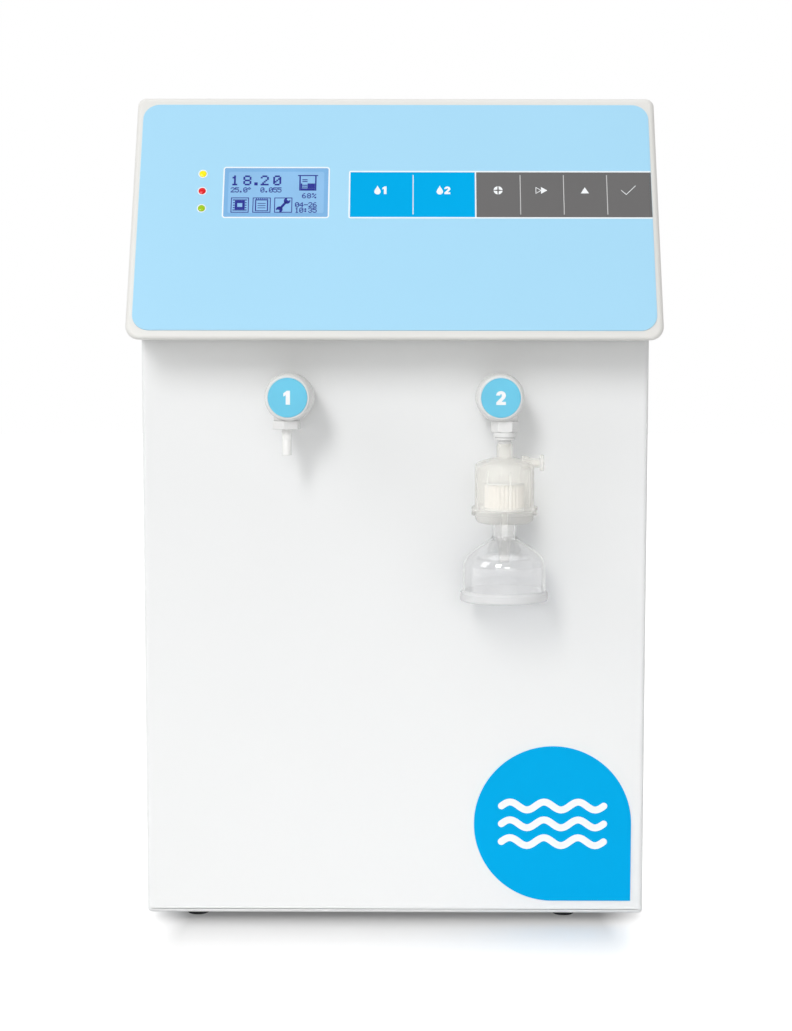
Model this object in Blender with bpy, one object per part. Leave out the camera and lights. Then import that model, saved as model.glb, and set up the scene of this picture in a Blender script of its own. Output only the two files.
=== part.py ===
"""Bench-top ultrapure water system: cabinet, sloped control head, two outlets, filter and bell.

Metres, +Z up, front towards -Y. The origin is on the floor, below the middle of the whole object.
"""
import math

import bmesh
import bpy
from mathutils import Vector

# Clearances, overruns and facet counts that all pieces share
GAP = 0.0003
OVERRUN = 0.002
MERGE_DISTANCE = 0.000003
ROUND_SIDES = 24
BELL_SIDES = 32
SMALL_SIDES = 12
FINE_SIDES = 16
CORNER_STEPS = 4
EDGE_STEPS = 3
SMOOTH_ANGLE = math.radians(32)

# Cabinet
CABINET_WIDTH = 0.370
CABINET_DEPTH = 0.425
FOOT_HEIGHT = 0.008
SHEET = 0.0015
PANEL_WALL = 0.002
PANEL_RETURN = 0.015
PANEL_CORNER = 0.006
PANEL_EDGE = 0.005
FRONT_PANEL_LAP = 0.060
INSIDE_MARGIN = 0.0075
TRAY_FLANGE = 0.020
COVER_FLANGE = 0.015
COVER_LAP = 0.020
SIDE_CUT_BACK = 0.020

# Control head
HEAD_TOP = 0.612
HEAD_HEIGHT = 0.178
HEAD_PROUD = 0.005
HEAD_OVERHANG = 0.050
SLOPE_BACK = 0.0792
HEAD_TOP_DEPTH = 0.032
HEAD_WALL = 0.003
HEAD_FIT = 0.0005
HEAD_LOW_CORNER = 0.010
HEAD_TOP_CORNER = 0.006
HEAD_EDGE = 0.004

# Membrane overlay, in the sloped face's own frame
OVERLAY_SIDE_MARGIN = 0.005
OVERLAY_LOW_MARGIN = 0.0078
OVERLAY_TOP_MARGIN = 0.0055
OVERLAY_CORNER = 0.013
OVERLAY_THICKNESS = 0.0012
OVERLAY_SINK = 0.0006
FACE_WALL = 0.003

# Keys, display and lamps, in the sloped face's own frame
DISPENSE_KEYS = ("key_dispense_1", "key_dispense_2")
MENU_KEYS = ("key_menu", "key_next", "key_increase", "key_confirm")
LAMPS = ("lamp_green", "lamp_red", "lamp_yellow")
KEY_LOW = 0.0965
KEY_HEIGHT = 0.0367
KEY_BAR_SPACE = 0.0159
KEY_BAR_MARGIN = 0.0012
KEY_GROUP_GAP = 0.0011
DISPENSE_SHARE = 0.4182
KEY_TRAVEL = 0.0004
KEY_POST_RADIUS = 0.0025
KEY_POST_LENGTH = 0.0040
KEY_APERTURE_MARGIN = 0.0010
SWITCH_SIZE = 0.0070
SWITCH_HEIGHT = 0.0043
KEYPAD_BOARD_MARGIN = 0.0045
BOARD = 0.0016
WINDOW_MARGIN = 0.0614
WINDOW_LOW = 0.0967
WINDOW_WIDTH = 0.0752
WINDOW_HEIGHT = 0.0393
WINDOW_LEDGE = 0.0030
DISPLAY_BORDER = 0.0012
DISPLAY_DEPTH = 0.0075
LAMP_MARGIN = 0.0456
LAMP_LOW = 0.1038
LAMP_PITCH = 0.0140
LAMP_RADIUS = 0.0026
LAMP_DOME = 0.0006
LAMP_FLANGE = 0.0006
CONTROL_BOARD_SIDE = 0.0080
CONTROL_BOARD_LAMP_SIDE = 0.0100
BOSS_RADIUS = 0.0028
BOSS_INSET = 0.0035
BOSS_SIDES = 8
CHIP_SIZE = 0.012
CHIP_HEIGHT = 0.002
CHIP_SHARES = (0.3, 0.5, 0.7)

# Taps
TAP_SPREAD = 0.150
TAP_DROP = 0.0405
TAP_REACH = 0.036
TAP_RADIUS = 0.0175
TAP_RIM_RADIUS = 0.0155
TAP_FACE_REACH = 0.050
TAP_ROUND = 0.004
TAP_ROUND_SHARES = (0.7, 0.3)
TAP_STEM_RADIUS = 0.008
TAP_STEM_LENGTH = 0.025
DISC_RADIUS = 0.0142
DISC_THICKNESS = 0.0012
DISC_RECESS = 0.0010
FIRST_OUTLET_SHIFT = 0.0015
SECOND_OUTLET_SHIFT = 0.0035
OUTLET_BOSS_RADIUS = 0.0090
OUTLET_BOSS_DROP = 0.0004
NUT_FLATS = 0.0170
FIRST_NUT_TURN = math.radians(20)
SECOND_NUT_TURN = math.radians(4)
SPOUT_NUT_HEIGHT = 0.0040
ADAPTER_NUT_HEIGHT = 0.0064
SPOUT_RADIUS = 0.0033
SPOUT_BORE = 0.0021
SPOUT_LENGTH = 0.0230
SPOUT_STEP = 0.0002
SPOUT_STEP_SHARE = 0.50
PANEL_NUT_FLATS = 0.024
PANEL_NUT_HEIGHT = 0.005

# Adapter between the second tap and the filter
ADAPTER_STEM_RADIUS = 0.0048
COLLAR_RADIUS = 0.0077
COLLAR_HEIGHT = 0.0050
COLLAR_GROOVE = 0.0006
ADAPTER_NECK_RADIUS = 0.0041
ADAPTER_NECK_HEIGHT = 0.0014
ADAPTER_LIP_RADIUS = 0.0050
ADAPTER_LIP_HEIGHT = 0.0013
WATERWAY = 0.0022

# Filter capsule
FILTER_WALL = 0.0015
FILTER_STEM_RADIUS = 0.0057
FILTER_STEM_HEIGHT = 0.0092
FILTER_STEM_ROUND = 0.0010
FILTER_RADIUS = 0.0206
FILTER_SHOULDER = 0.0075
FILTER_BODY = 0.0278
FILTER_FLANGE_RADIUS = 0.0235
FILTER_FLANGE = 0.0029
BOWL_DEPTH = 0.0058
BOWL_ROUND = 0.0045
OUTLET_STEM_RADIUS = 0.0064
OUTLET_STEM_HEIGHT = 0.0120
NOZZLE_RADIUS = 0.0051
NOZZLE_TIP_RADIUS = 0.0034
NOZZLE_LENGTH = 0.0161
CORE_RADIUS = 0.0145
CORE_PLEAT = 0.0020
CORE_HEIGHT = 0.0195
CORE_PLEATS = 24
VENT_DROP = 0.0042
VENT_BOSS_RADIUS = 0.0050
VENT_BOSS_START = 0.0120
VENT_BOSS_END = 0.0185
VENT_NECK_RADIUS = 0.0035
VENT_NECK_END = 0.0247
VENT_STEM_RADIUS = 0.0019
VENT_STEM_LENGTH = 0.011
VENT_KNOB_RADIUS = 0.0058
VENT_KNOB_THICKNESS = 0.0030
# Share of the drop, and share of the way from the stem's radius to the body's
FILTER_SHOULDER_SHARES = ((0.0, 0.0), (0.41, 0.77), (0.68, 0.95), (1.0, 1.0))

# Dispensing bell
BELL_WALL = 0.0019
BELL_NECK_HEIGHT = 0.0102
BELL_RADIUS = 0.0293
BELL_SHOULDER = 0.0199
BELL_SKIRT = 0.0185
BELL_RIM_RADIUS = 0.0315
BELL_RIM_HEIGHT = 0.0068
BELL_RIM_ROUND = 0.0020
# Share of the drop, and share of the way from the neck's radius to the skirt's
BELL_SHOULDER_SHARES = ((0.0, 0.0), (0.12, 0.20), (0.28, 0.43), (0.56, 0.78), (0.81, 0.94), (1.0, 1.0))

# Front badge
BADGE_RADIUS = 0.0584
BADGE_RIGHT_MARGIN = 0.0093
BADGE_LOW_MARGIN = 0.0101
BADGE_THICKNESS = 0.0005
BADGE_STEPS = 36
BADGE_SWEEP = math.radians(270)

# Feet
FOOT_RADIUS = 0.0085
FOOT_EDGE = 0.0010
FOOT_STUD_RADIUS = 0.0025
FOOT_STUD_LENGTH = 0.004
FOOT_SETBACK = 0.0295
FOOT_LEFT_INSET = 0.035
FOOT_RIGHT_INSET = 0.057

# Rear ports, inlet and switch
PORTS = ("feed_port", "tank_port", "drain_port")
PORT_REACH = 0.0175
PORT_HEX_FLATS = 0.017
PORT_HEX_THICKNESS = 0.005
PORT_RADIUS = 0.0070
PORT_COLLET_RADIUS = 0.0058
PORT_COLLET_LENGTH = 0.003
PORT_BORE = 0.0033
PORT_BORE_DEPTH = 0.0150
PORT_TAIL_RADIUS = 0.0065
PORT_TAIL_LENGTH = 0.018
PORT_HEIGHT = 0.120
PORT_SIDE_GAP = 0.040
PORT_PITCH = 0.040
INLET_SIDE_GAP = 0.055
INLET_HEIGHT = 0.095
INLET_WIDTH = 0.048
INLET_TALL = 0.062
INLET_FLANGE = 0.0025
INLET_CORNER = 0.0036
INLET_BODY_WIDTH = 0.0300
INLET_BODY_TALL = 0.0500
INLET_BODY_DEPTH = 0.028
SOCKET_WIDTH = 0.0245
SOCKET_TALL = 0.0165
SOCKET_DEPTH = 0.0170
SOCKET_DROP = 0.0130
PIN_WIDTH = 0.0020
PIN_TALL = 0.0040
PIN_LENGTH = 0.0120
PIN_PITCH = 0.0070
EARTH_PIN_RISE = 0.0035
ROCKER_RISE = 0.0125
ROCKER_WIDTH = 0.0200
ROCKER_HALF = 0.0060
ROCKER_RIM = 0.0024
ROCKER_MIDDLE = 0.0014
ROCKER_BELLY = 0.0048
ROCKER_WINDOW_DEPTH = 0.010
ROCKER_SWEEP = 0.0007
ROCKER_SINK = 0.0010
ROCKER_SHOULDER_SHARES = (0.7, 0.85)
ROCKER_TILT = math.radians(10)
VENT_SLOTS = 8
VENT_COLUMNS = 3
VENT_COLUMN_PITCH = 0.058
VENT_SLOT_WIDTH = 0.045
VENT_SLOT_HEIGHT = 0.004
VENT_SLOT_PITCH = 0.012
VENT_SLOT_DROP = 0.088

# Inner frame, columns, pump and power supply
REAR_BAY = 0.190
PLATE_DROP = 0.033
PLATE_FOOT = 0.020
COLUMNS = 5
COLUMN_GAP = 0.0104
COLUMN_HEIGHT = 0.340
COLUMN_PORT_RADIUS = 0.0060
COLUMN_PORT_HEIGHT = 0.012
COLUMN_CHAMFER = 0.006
COLUMN_NECK_RADIUS = 0.010
COLUMN_CAP_PROUD = 0.002
CANISTER_HEAD = 0.040
MEMBRANE_CAP = 0.028
POLISHER_CAP = 0.016
RAIL_BACK = 0.006
RAIL_LOW = 0.250
RAIL_HEIGHT = 0.022
RAIL_GRIP = 0.008
PUMP_SIDE_GAP = 0.0185
PUMP_REAR_GAP = 0.095
PUMP_AXIS_RISE = 0.040
PUMP_HEAD_LENGTH = 0.045
PUMP_HEAD_RADIUS = 0.032
MOTOR_RADIUS = 0.028
MOTOR_LENGTH = 0.090
MOTOR_BOSS_LENGTH = 0.006
MOTOR_BOSS_RADIUS = 0.012
SHAFT_RADIUS = 0.004
SHAFT_LENGTH = 0.012
PUMP_FOOT_HALF = 0.022
PUMP_EDGE = 0.0055
SUPPLY_WIDTH = 0.110
SUPPLY_DEPTH = 0.040
SUPPLY_HEIGHT = 0.200
SUPPLY_SIDE_GAP = 0.036
SUPPLY_DROP = 0.060
TERMINAL_HEIGHT = 0.018
TERMINAL_DEPTH = 0.022
TERMINAL_INSET = 0.018
VALVE_SIDE_GAP = 0.056
VALVE_DROP = 0.230
VALVE_WIDTH = 0.034
VALVE_DEPTH = 0.028
VALVE_HEIGHT = 0.022
COIL_RADIUS = 0.012
COIL_HEIGHT = 0.032
TUBE_RADIUS = 0.0032
TUBE_LEAD = 0.0096
TUBE_STEPS = 22
TUBE_RESOLUTION = 2
# Shares of the way from tap to column: where the tube climbs, where it bends, how high it crowns
TUBE_CLIMB_SHARE = 0.5
TUBE_BEND_SHARE = 0.8
TUBE_CROWN_SHARE = 0.5

# Datum planes worked out from the sizes above
FRONT_REACH = max(TAP_REACH + BELL_RIM_RADIUS, HEAD_OVERHANG)
TOTAL_DEPTH = FRONT_REACH + CABINET_DEPTH + PORT_REACH
FRONT_Y = FRONT_REACH - TOTAL_DEPTH / 2
REAR_Y = FRONT_Y + CABINET_DEPTH
HALF_WIDTH = CABINET_WIDTH / 2
HEAD_HALF = HALF_WIDTH + HEAD_PROUD
HEAD_LOW = HEAD_TOP - HEAD_HEIGHT
FRONT_PANEL_TOP = HEAD_LOW + FRONT_PANEL_LAP
SLOPE_LENGTH = math.hypot(HEAD_HEIGHT, SLOPE_BACK)
SLOPE_TILT = math.atan2(SLOPE_BACK, HEAD_HEIGHT)
HEAD_BACK_Y = FRONT_Y - HEAD_OVERHANG + SLOPE_BACK + HEAD_TOP_DEPTH
OVERLAY_HALF = HEAD_HALF - OVERLAY_SIDE_MARGIN
OVERLAY_BACK = -(OVERLAY_SINK + OVERLAY_THICKNESS)
RECESS_FLOOR = OVERLAY_BACK - GAP
FACE_BACK = RECESS_FLOOR - FACE_WALL
COVER_TOP = HEAD_TOP - HEAD_WALL - HEAD_FIT
SIDE_TOP = COVER_TOP - COVER_FLANGE - GAP
SIDE_FRONT_Y = FRONT_Y + PANEL_RETURN + GAP
TRAY_TOP = FOOT_HEIGHT + SHEET
SWITCH_GAP = KEY_TRAVEL + GAP

# Layout across the face: lamps and window from the left, the key bar fills the rest
LAMP_X = LAMP_MARGIN - OVERLAY_HALF
WINDOW_LEFT = WINDOW_MARGIN - OVERLAY_HALF
DISPENSE_LEFT = WINDOW_LEFT + WINDOW_WIDTH + KEY_BAR_SPACE
KEY_BAR_WIDTH = OVERLAY_HALF - KEY_BAR_MARGIN - DISPENSE_LEFT - KEY_GROUP_GAP
DISPENSE_PITCH = KEY_BAR_WIDTH * DISPENSE_SHARE / len(DISPENSE_KEYS)
MENU_LEFT = DISPENSE_LEFT + len(DISPENSE_KEYS) * DISPENSE_PITCH + KEY_GROUP_GAP
MENU_PITCH = KEY_BAR_WIDTH * (1 - DISPENSE_SHARE) / len(MENU_KEYS)
MENU_RIGHT = MENU_LEFT + len(MENU_KEYS) * MENU_PITCH

# Places of the taps, the inner frame and the fittings behind it
TAP_HEIGHT = HEAD_LOW - TAP_DROP
TAP_AXIS_Y = FRONT_Y - TAP_REACH
TAP_X = TAP_SPREAD / 2
FIRST_OUTLET_X = -TAP_X - FIRST_OUTLET_SHIFT
SECOND_OUTLET_X = TAP_X + SECOND_OUTLET_SHIFT
OUTLET_LOW = TAP_HEIGHT - TAP_RADIUS - OUTLET_BOSS_DROP
PLATE_Y = REAR_Y - REAR_BAY
PLATE_TOP = SIDE_TOP - PLATE_DROP
PLATE_HALF = HALF_WIDTH - SHEET - INSIDE_MARGIN
COLUMN_PITCH = 2 * PLATE_HALF / COLUMNS
COLUMN_RADIUS = (COLUMN_PITCH - COLUMN_GAP) / 2
COLUMN_Y = PLATE_Y - GAP - RAIL_BACK - COLUMN_RADIUS
COLUMN_LOW = TRAY_TOP + GAP
COLUMN_TOP = COLUMN_LOW + COLUMN_HEIGHT + COLUMN_PORT_HEIGHT
PUMP_X = PUMP_SIDE_GAP + PUMP_HEAD_LENGTH + SHEET - HALF_WIDTH
PUMP_Y = REAR_Y - PUMP_REAR_GAP
PORT_FIRST_X = PORT_SIDE_GAP - HALF_WIDTH
INLET_X = HALF_WIDTH - INLET_SIDE_GAP
VENT_SLOT_LOW = SIDE_TOP - VENT_SLOT_DROP - VENT_SLOTS * VENT_SLOT_PITCH
SUPPLY_LEFT = PLATE_HALF - SUPPLY_SIDE_GAP - SUPPLY_WIDTH
SUPPLY_LOW = PLATE_TOP - SUPPLY_DROP - SUPPLY_HEIGHT
VALVE_X = VALVE_SIDE_GAP - PLATE_HALF
VALVE_LOW = PLATE_TOP - VALVE_DROP - VALVE_HEIGHT

# Colour, roughness and metallic value of each finish
FINISHES = {
    "painted_steel": ((0.86, 0.88, 0.89), 0.38, 0.0),
    "head_plastic": ((0.90, 0.89, 0.86), 0.34, 0.0),
    "overlay_film": ((0.42, 0.73, 0.93), 0.30, 0.0),
    "dispense_key": ((0.0, 0.42, 0.86), 0.32, 0.0),
    "menu_key": ((0.17, 0.17, 0.17), 0.34, 0.0),
    "display_glass": ((0.26, 0.50, 0.82), 0.10, 0.0),
    "display_module": ((0.12, 0.13, 0.14), 0.60, 0.0),
    "lamp_yellow": ((0.95, 0.85, 0.05), 0.20, 0.0),
    "lamp_red": ((0.80, 0.02, 0.03), 0.20, 0.0),
    "lamp_green": ((0.38, 0.65, 0.05), 0.20, 0.0),
    "circuit_board": ((0.05, 0.30, 0.12), 0.45, 0.0),
    "white_plastic": ((0.88, 0.88, 0.87), 0.36, 0.0),
    "tap_disc": ((0.16, 0.60, 0.84), 0.30, 0.0),
    "filter_plastic": ((0.86, 0.87, 0.85), 0.30, 0.0),
    "filter_media": ((0.95, 0.94, 0.90), 0.80, 0.0),
    "clear_plastic": ((0.93, 0.95, 0.97), 0.08, 0.0),
    "badge_blue": ((0.0, 0.38, 0.80), 0.35, 0.0),
    "rubber": ((0.03, 0.03, 0.035), 0.75, 0.0),
    "zinc_steel": ((0.60, 0.62, 0.64), 0.40, 1.0),
    "black_plastic": ((0.03, 0.03, 0.03), 0.45, 0.0),
    "canister_blue": ((0.10, 0.25, 0.55), 0.40, 0.0),
    "tube_plastic": ((0.90, 0.91, 0.92), 0.40, 0.0),
    "steel_shaft": ((0.70, 0.70, 0.72), 0.25, 1.0),
}


# Scene start and materials

def clear_scene():
    for item in list(bpy.data.objects):
        bpy.data.objects.remove(item, do_unlink=True)


def finish(name):
    """The material of one finish, made the first time it is asked for."""
    made = bpy.data.materials.get(name)
    if made:
        return made
    colour, roughness, metallic = FINISHES[name]
    made = bpy.data.materials.new(name)
    made.use_nodes = True
    shader = made.node_tree.nodes["Principled BSDF"]
    shader.inputs["Base Color"].default_value = (*colour, 1.0)
    shader.inputs["Roughness"].default_value = roughness
    shader.inputs["Metallic"].default_value = metallic
    made.diffuse_color = (*colour, 1.0)
    return made


# Shapes, each a bmesh in its piece's own frame

def block(low, high, bm=None):
    """A box between two corners, added to bm if one is given."""
    bm = bmesh.new() if bm is None else bm
    low, high = Vector(low), Vector(high)
    made = bmesh.ops.create_cube(bm, size=1.0)["verts"]
    bmesh.ops.scale(bm, verts=made, vec=high - low)
    bmesh.ops.translate(bm, verts=made, vec=(low + high) / 2)
    return bm


def prism(outline, low, high, axis):
    """An outline extruded along X, Y or Z; its points are the two other coordinates in order."""
    places = {
        "X": lambda a, b: (low, a, b),
        "Y": lambda a, b: (a, low, b),
        "Z": lambda a, b: (a, b, low),
    }
    pushes = {"X": (high - low, 0, 0), "Y": (0, high - low, 0), "Z": (0, 0, high - low)}
    bm = bmesh.new()
    face = bm.faces.new([bm.verts.new(places[axis](a, b)) for a, b in outline])
    grown = bmesh.ops.extrude_face_region(bm, geom=[face])["geom"]
    moved = [item for item in grown if isinstance(item, bmesh.types.BMVert)]
    bmesh.ops.translate(bm, verts=moved, vec=pushes[axis])
    bmesh.ops.recalc_face_normals(bm, faces=bm.faces)
    return bm


def turned(profile, sides, ring=False):
    """A profile of (radius, height) points spun about Z; a ring's profile closes on itself."""
    bm = bmesh.new()
    points = [bm.verts.new((radius, 0, height)) for radius, height in profile]
    pairs = list(zip(points, points[1:]))
    if ring:
        pairs.append((points[-1], points[0]))
    edges = [bm.edges.new(pair) for pair in pairs]
    bmesh.ops.spin(
        bm, geom=points + edges, axis=(0, 0, 1), cent=(0, 0, 0),
        angle=math.tau, steps=sides, use_merge=True,
    )
    bmesh.ops.remove_doubles(bm, verts=bm.verts, dist=MERGE_DISTANCE)
    bmesh.ops.recalc_face_normals(bm, faces=bm.faces)
    return bm


def rod(radius, low, high, sides=SMALL_SIDES):
    return turned([(0, low), (radius, low), (radius, high), (0, high)], sides)


def arc(centre, radius, start, end, steps=CORNER_STEPS):
    """Points of an arc between two angles in degrees."""
    turns = [math.radians(start + (end - start) * step / steps) for step in range(steps + 1)]
    return [(centre[0] + radius * math.cos(turn), centre[1] + radius * math.sin(turn)) for turn in turns]


def hexagon(flats):
    """Outline of a hexagon with two corners on the first coordinate's axis."""
    radius = flats / math.sqrt(3)
    turns = [math.tau * (step + 0.5) / 6 for step in range(6)]
    return [(radius * math.sin(turn), radius * math.cos(turn)) for turn in turns]


def rounded_rectangle(left, low, right, high, radius):
    """Outline with four round corners, counter-clockwise."""
    return [
        *arc((right - radius, low + radius), radius, -90, 0),
        *arc((right - radius, high - radius), radius, 0, 90),
        *arc((left + radius, high - radius), radius, 90, 180),
        *arc((left + radius, low + radius), radius, 180, 270),
    ]


def round_edges(bm, edges, radius, steps):
    bmesh.ops.bevel(
        bm, geom=edges, offset=radius, offset_type="OFFSET", segments=steps,
        profile=0.5, affect="EDGES",
    )


def edges_where(bm, test):
    """Edges whose two ends both pass the test."""
    return [edge for edge in bm.edges if all(test(end.co) for end in edge.verts)]


def edges_along_y(bm, test):
    """Edges that run from front to back and pass the test at both ends."""
    return [edge for edge in edges_where(bm, test)
            if abs(edge.verts[0].co.x - edge.verts[1].co.x) < GAP]


# Pieces and the tools that cut or join them

def piece(name, bm, finish_name, at=(0, 0, 0), turn=(0, 0, 0), parent=None, smooth=False):
    """An object from a bmesh, with its finish, place, turn and parent."""
    mesh = bpy.data.meshes.new(name)
    bm.to_mesh(mesh)
    bm.free()
    if smooth:
        mesh.shade_smooth()
        mesh.set_sharp_from_angle(angle=SMOOTH_ANGLE)
    mesh.materials.append(finish(finish_name))
    made = bpy.data.objects.new(name, mesh)
    bpy.context.collection.objects.link(made)
    made.parent = parent
    made.location = at
    made.rotation_euler = turn
    return made


def combine(target, bm, operation, label, **place):
    """Cut a shape out of a piece, or join it on, with a Boolean that keeps its tool as a guide."""
    tool = piece(f"{target.name}_{label}", bm, target.data.materials[0].name, **place)
    tool.hide_render = True
    tool.display_type = "WIRE"
    step = target.modifiers.new(label, "BOOLEAN")
    step.operation = operation
    step.object = tool


def cut(target, bm, label, **place):
    combine(target, bm, "DIFFERENCE", label, **place)


def join(target, bm, label, **place):
    combine(target, bm, "UNION", label, **place)


# Cabinet

def slope_inside_y(height):
    """Depth of the head's inner face at a height."""
    along = (height - HEAD_LOW) * SLOPE_BACK / HEAD_HEIGHT
    return FRONT_Y - HEAD_OVERHANG + along - FACE_BACK / math.cos(SLOPE_TILT)


def dished_panel(inset, corner, edge, back):
    """The front panel's outer form, drawn in by an inset all round."""
    low = FOOT_HEIGHT + inset
    half = HALF_WIDTH - inset
    front = FRONT_Y + inset
    bm = block((-half, front, low), (half, back, FRONT_PANEL_TOP + inset))
    corners = edges_along_y(bm, lambda end: end.z < low + GAP and abs(end.x) > half - GAP)
    round_edges(bm, corners, corner, CORNER_STEPS)
    rim = [item for item in edges_where(bm, lambda end: end.y < front + GAP)
           if any(end.co.z < FRONT_PANEL_TOP - GAP for end in item.verts)]
    round_edges(bm, rim, edge, EDGE_STEPS)
    return bm


def make_front_panel():
    back = FRONT_Y + PANEL_RETURN
    panel = piece(
        "front_panel", dished_panel(0, PANEL_CORNER, PANEL_EDGE, back), "painted_steel", smooth=True,
    )
    inner = dished_panel(PANEL_WALL, PANEL_CORNER - PANEL_WALL, PANEL_EDGE - PANEL_WALL, back + OVERRUN)
    cut(panel, inner, "inside")
    for side in (-1, 1):
        hole = rod(TAP_STEM_RADIUS + GAP, -OVERRUN, PANEL_WALL + OVERRUN, FINE_SIDES)
        cut(panel, hole, f"tap_hole_{side}", at=(side * TAP_X, FRONT_Y, TAP_HEIGHT),
            turn=(math.radians(-90), 0, 0))


def foot_places():
    left, right = -HALF_WIDTH + FOOT_LEFT_INSET, HALF_WIDTH - FOOT_RIGHT_INSET
    front, rear = FRONT_Y + FOOT_SETBACK, REAR_Y - FOOT_SETBACK
    return {
        "foot_front_left": (left, front), "foot_front_right": (right, front),
        "foot_rear_left": (left, rear), "foot_rear_right": (right, rear),
    }


def make_base():
    front = FRONT_Y + PANEL_RETURN + GAP
    rear = REAR_Y - SHEET - GAP
    half = HALF_WIDTH - SHEET - GAP
    tray = piece(
        "base_tray",
        block((-half, front, FOOT_HEIGHT), (half, rear, FOOT_HEIGHT + TRAY_FLANGE)), "zinc_steel",
    )
    hollow = block(
        (-half + SHEET, front + SHEET, TRAY_TOP),
        (half - SHEET, rear - SHEET, FOOT_HEIGHT + TRAY_FLANGE + OVERRUN),
    )
    cut(tray, hollow, "inside")
    for name, (x, y) in foot_places().items():
        hole = rod(FOOT_STUD_RADIUS + GAP, FOOT_HEIGHT - OVERRUN, TRAY_TOP + OVERRUN)
        cut(tray, hole, name, at=(x, y, 0))
        top = FOOT_HEIGHT - GAP
        profile = [
            (0, 0), (FOOT_RADIUS - FOOT_EDGE, 0), (FOOT_RADIUS, FOOT_EDGE),
            (FOOT_RADIUS - FOOT_EDGE, top), (FOOT_STUD_RADIUS, top),
            (FOOT_STUD_RADIUS, top + FOOT_STUD_LENGTH), (0, top + FOOT_STUD_LENGTH),
        ]
        piece(name, turned(profile, FINE_SIDES), "rubber", at=(x, y, 0), smooth=True)


def make_side_panels():
    rear = REAR_Y - SHEET - GAP
    drop = SIDE_CUT_BACK * HEAD_HEIGHT / SLOPE_BACK
    outline = [
        (SIDE_FRONT_Y, FOOT_HEIGHT), (rear, FOOT_HEIGHT), (rear, SIDE_TOP),
        (SIDE_FRONT_Y + SIDE_CUT_BACK, SIDE_TOP), (SIDE_FRONT_Y, SIDE_TOP - drop),
    ]
    for name, side in (("left_side_panel", -1), ("right_side_panel", 1)):
        faces = sorted((side * HALF_WIDTH, side * (HALF_WIDTH - SHEET)))
        piece(name, prism(outline, *faces, "X"), "painted_steel")


def make_top_cover():
    front = HEAD_BACK_Y - COVER_LAP
    low = COVER_TOP - COVER_FLANGE
    cover = piece("top_cover", block((-HALF_WIDTH, front, low), (HALF_WIDTH, REAR_Y, COVER_TOP)),
                  "painted_steel")
    hollow = block(
        (-HALF_WIDTH + SHEET, front - OVERRUN, low - OVERRUN),
        (HALF_WIDTH - SHEET, REAR_Y - SHEET, COVER_TOP - SHEET),
    )
    cut(cover, hollow, "inside")


def make_rear_panel():
    panel = piece(
        "rear_panel",
        block((-HALF_WIDTH, REAR_Y - SHEET, FOOT_HEIGHT), (HALF_WIDTH, REAR_Y, SIDE_TOP)), "painted_steel",
    )
    near, far = REAR_Y - SHEET - OVERRUN, REAR_Y + OVERRUN
    half_wide = INLET_BODY_WIDTH / 2 + GAP
    half_tall = INLET_BODY_TALL / 2 + GAP
    cut(panel, block((INLET_X - half_wide, near, INLET_HEIGHT - half_tall),
                     (INLET_X + half_wide, far, INLET_HEIGHT + half_tall)), "inlet_opening")
    for index, name in enumerate(PORTS):
        hole = rod(PORT_TAIL_RADIUS + GAP, -OVERRUN, SHEET + OVERRUN, FINE_SIDES)
        cut(panel, hole, f"{name}_hole", turn=(math.radians(-90), 0, 0),
            at=(PORT_FIRST_X + index * PORT_PITCH, REAR_Y - SHEET, PORT_HEIGHT))
    slots = bmesh.new()
    for column in range(VENT_COLUMNS):
        left = (column - (VENT_COLUMNS - 1) / 2) * VENT_COLUMN_PITCH - VENT_SLOT_WIDTH / 2
        for index in range(VENT_SLOTS):
            low = VENT_SLOT_LOW + index * VENT_SLOT_PITCH
            block((left, near, low), (left + VENT_SLOT_WIDTH, far, low + VENT_SLOT_HEIGHT), slots)
    cut(panel, slots, "vent_slots")


# Control head

def make_face_frame():
    """Empty on the sloped face: X across, Y up the slope, Z out of the face."""
    frame = bpy.data.objects.new("face_frame", None)
    bpy.context.collection.objects.link(frame)
    frame.location = (0, FRONT_Y - HEAD_OVERHANG, HEAD_LOW)
    frame.rotation_euler = (math.pi / 2 - SLOPE_TILT, 0, 0)
    return frame


def keypad_box(margin):
    """Left, low, right and high limits of the whole key bar, grown by a margin."""
    return (DISPENSE_LEFT - margin, KEY_LOW - margin, MENU_RIGHT + margin, KEY_LOW + KEY_HEIGHT + margin)


def window_box(margin):
    return (
        WINDOW_LEFT - margin, WINDOW_LOW - margin,
        WINDOW_LEFT + WINDOW_WIDTH + margin, WINDOW_LOW + WINDOW_HEIGHT + margin,
    )


def control_board_box():
    left, low, right, high = window_box(CONTROL_BOARD_SIDE)
    return (LAMP_X - LAMP_RADIUS - CONTROL_BOARD_LAMP_SIDE, low, right, high)


def keypad_board_front():
    """Height in the face's frame of the keypad board's front."""
    return OVERLAY_BACK - KEY_POST_LENGTH - SWITCH_GAP - SWITCH_HEIGHT


def control_board_front():
    return FACE_BACK - GAP - DISPLAY_DEPTH - GAP


def lamp_places():
    return [(LAMP_X, LAMP_LOW + index * LAMP_PITCH) for index in range(len(LAMPS))]


def corners_of(box, inset):
    left, low, right, high = box
    return [(x, y) for x in (left + inset, right - inset) for y in (low + inset, high - inset)]


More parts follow.
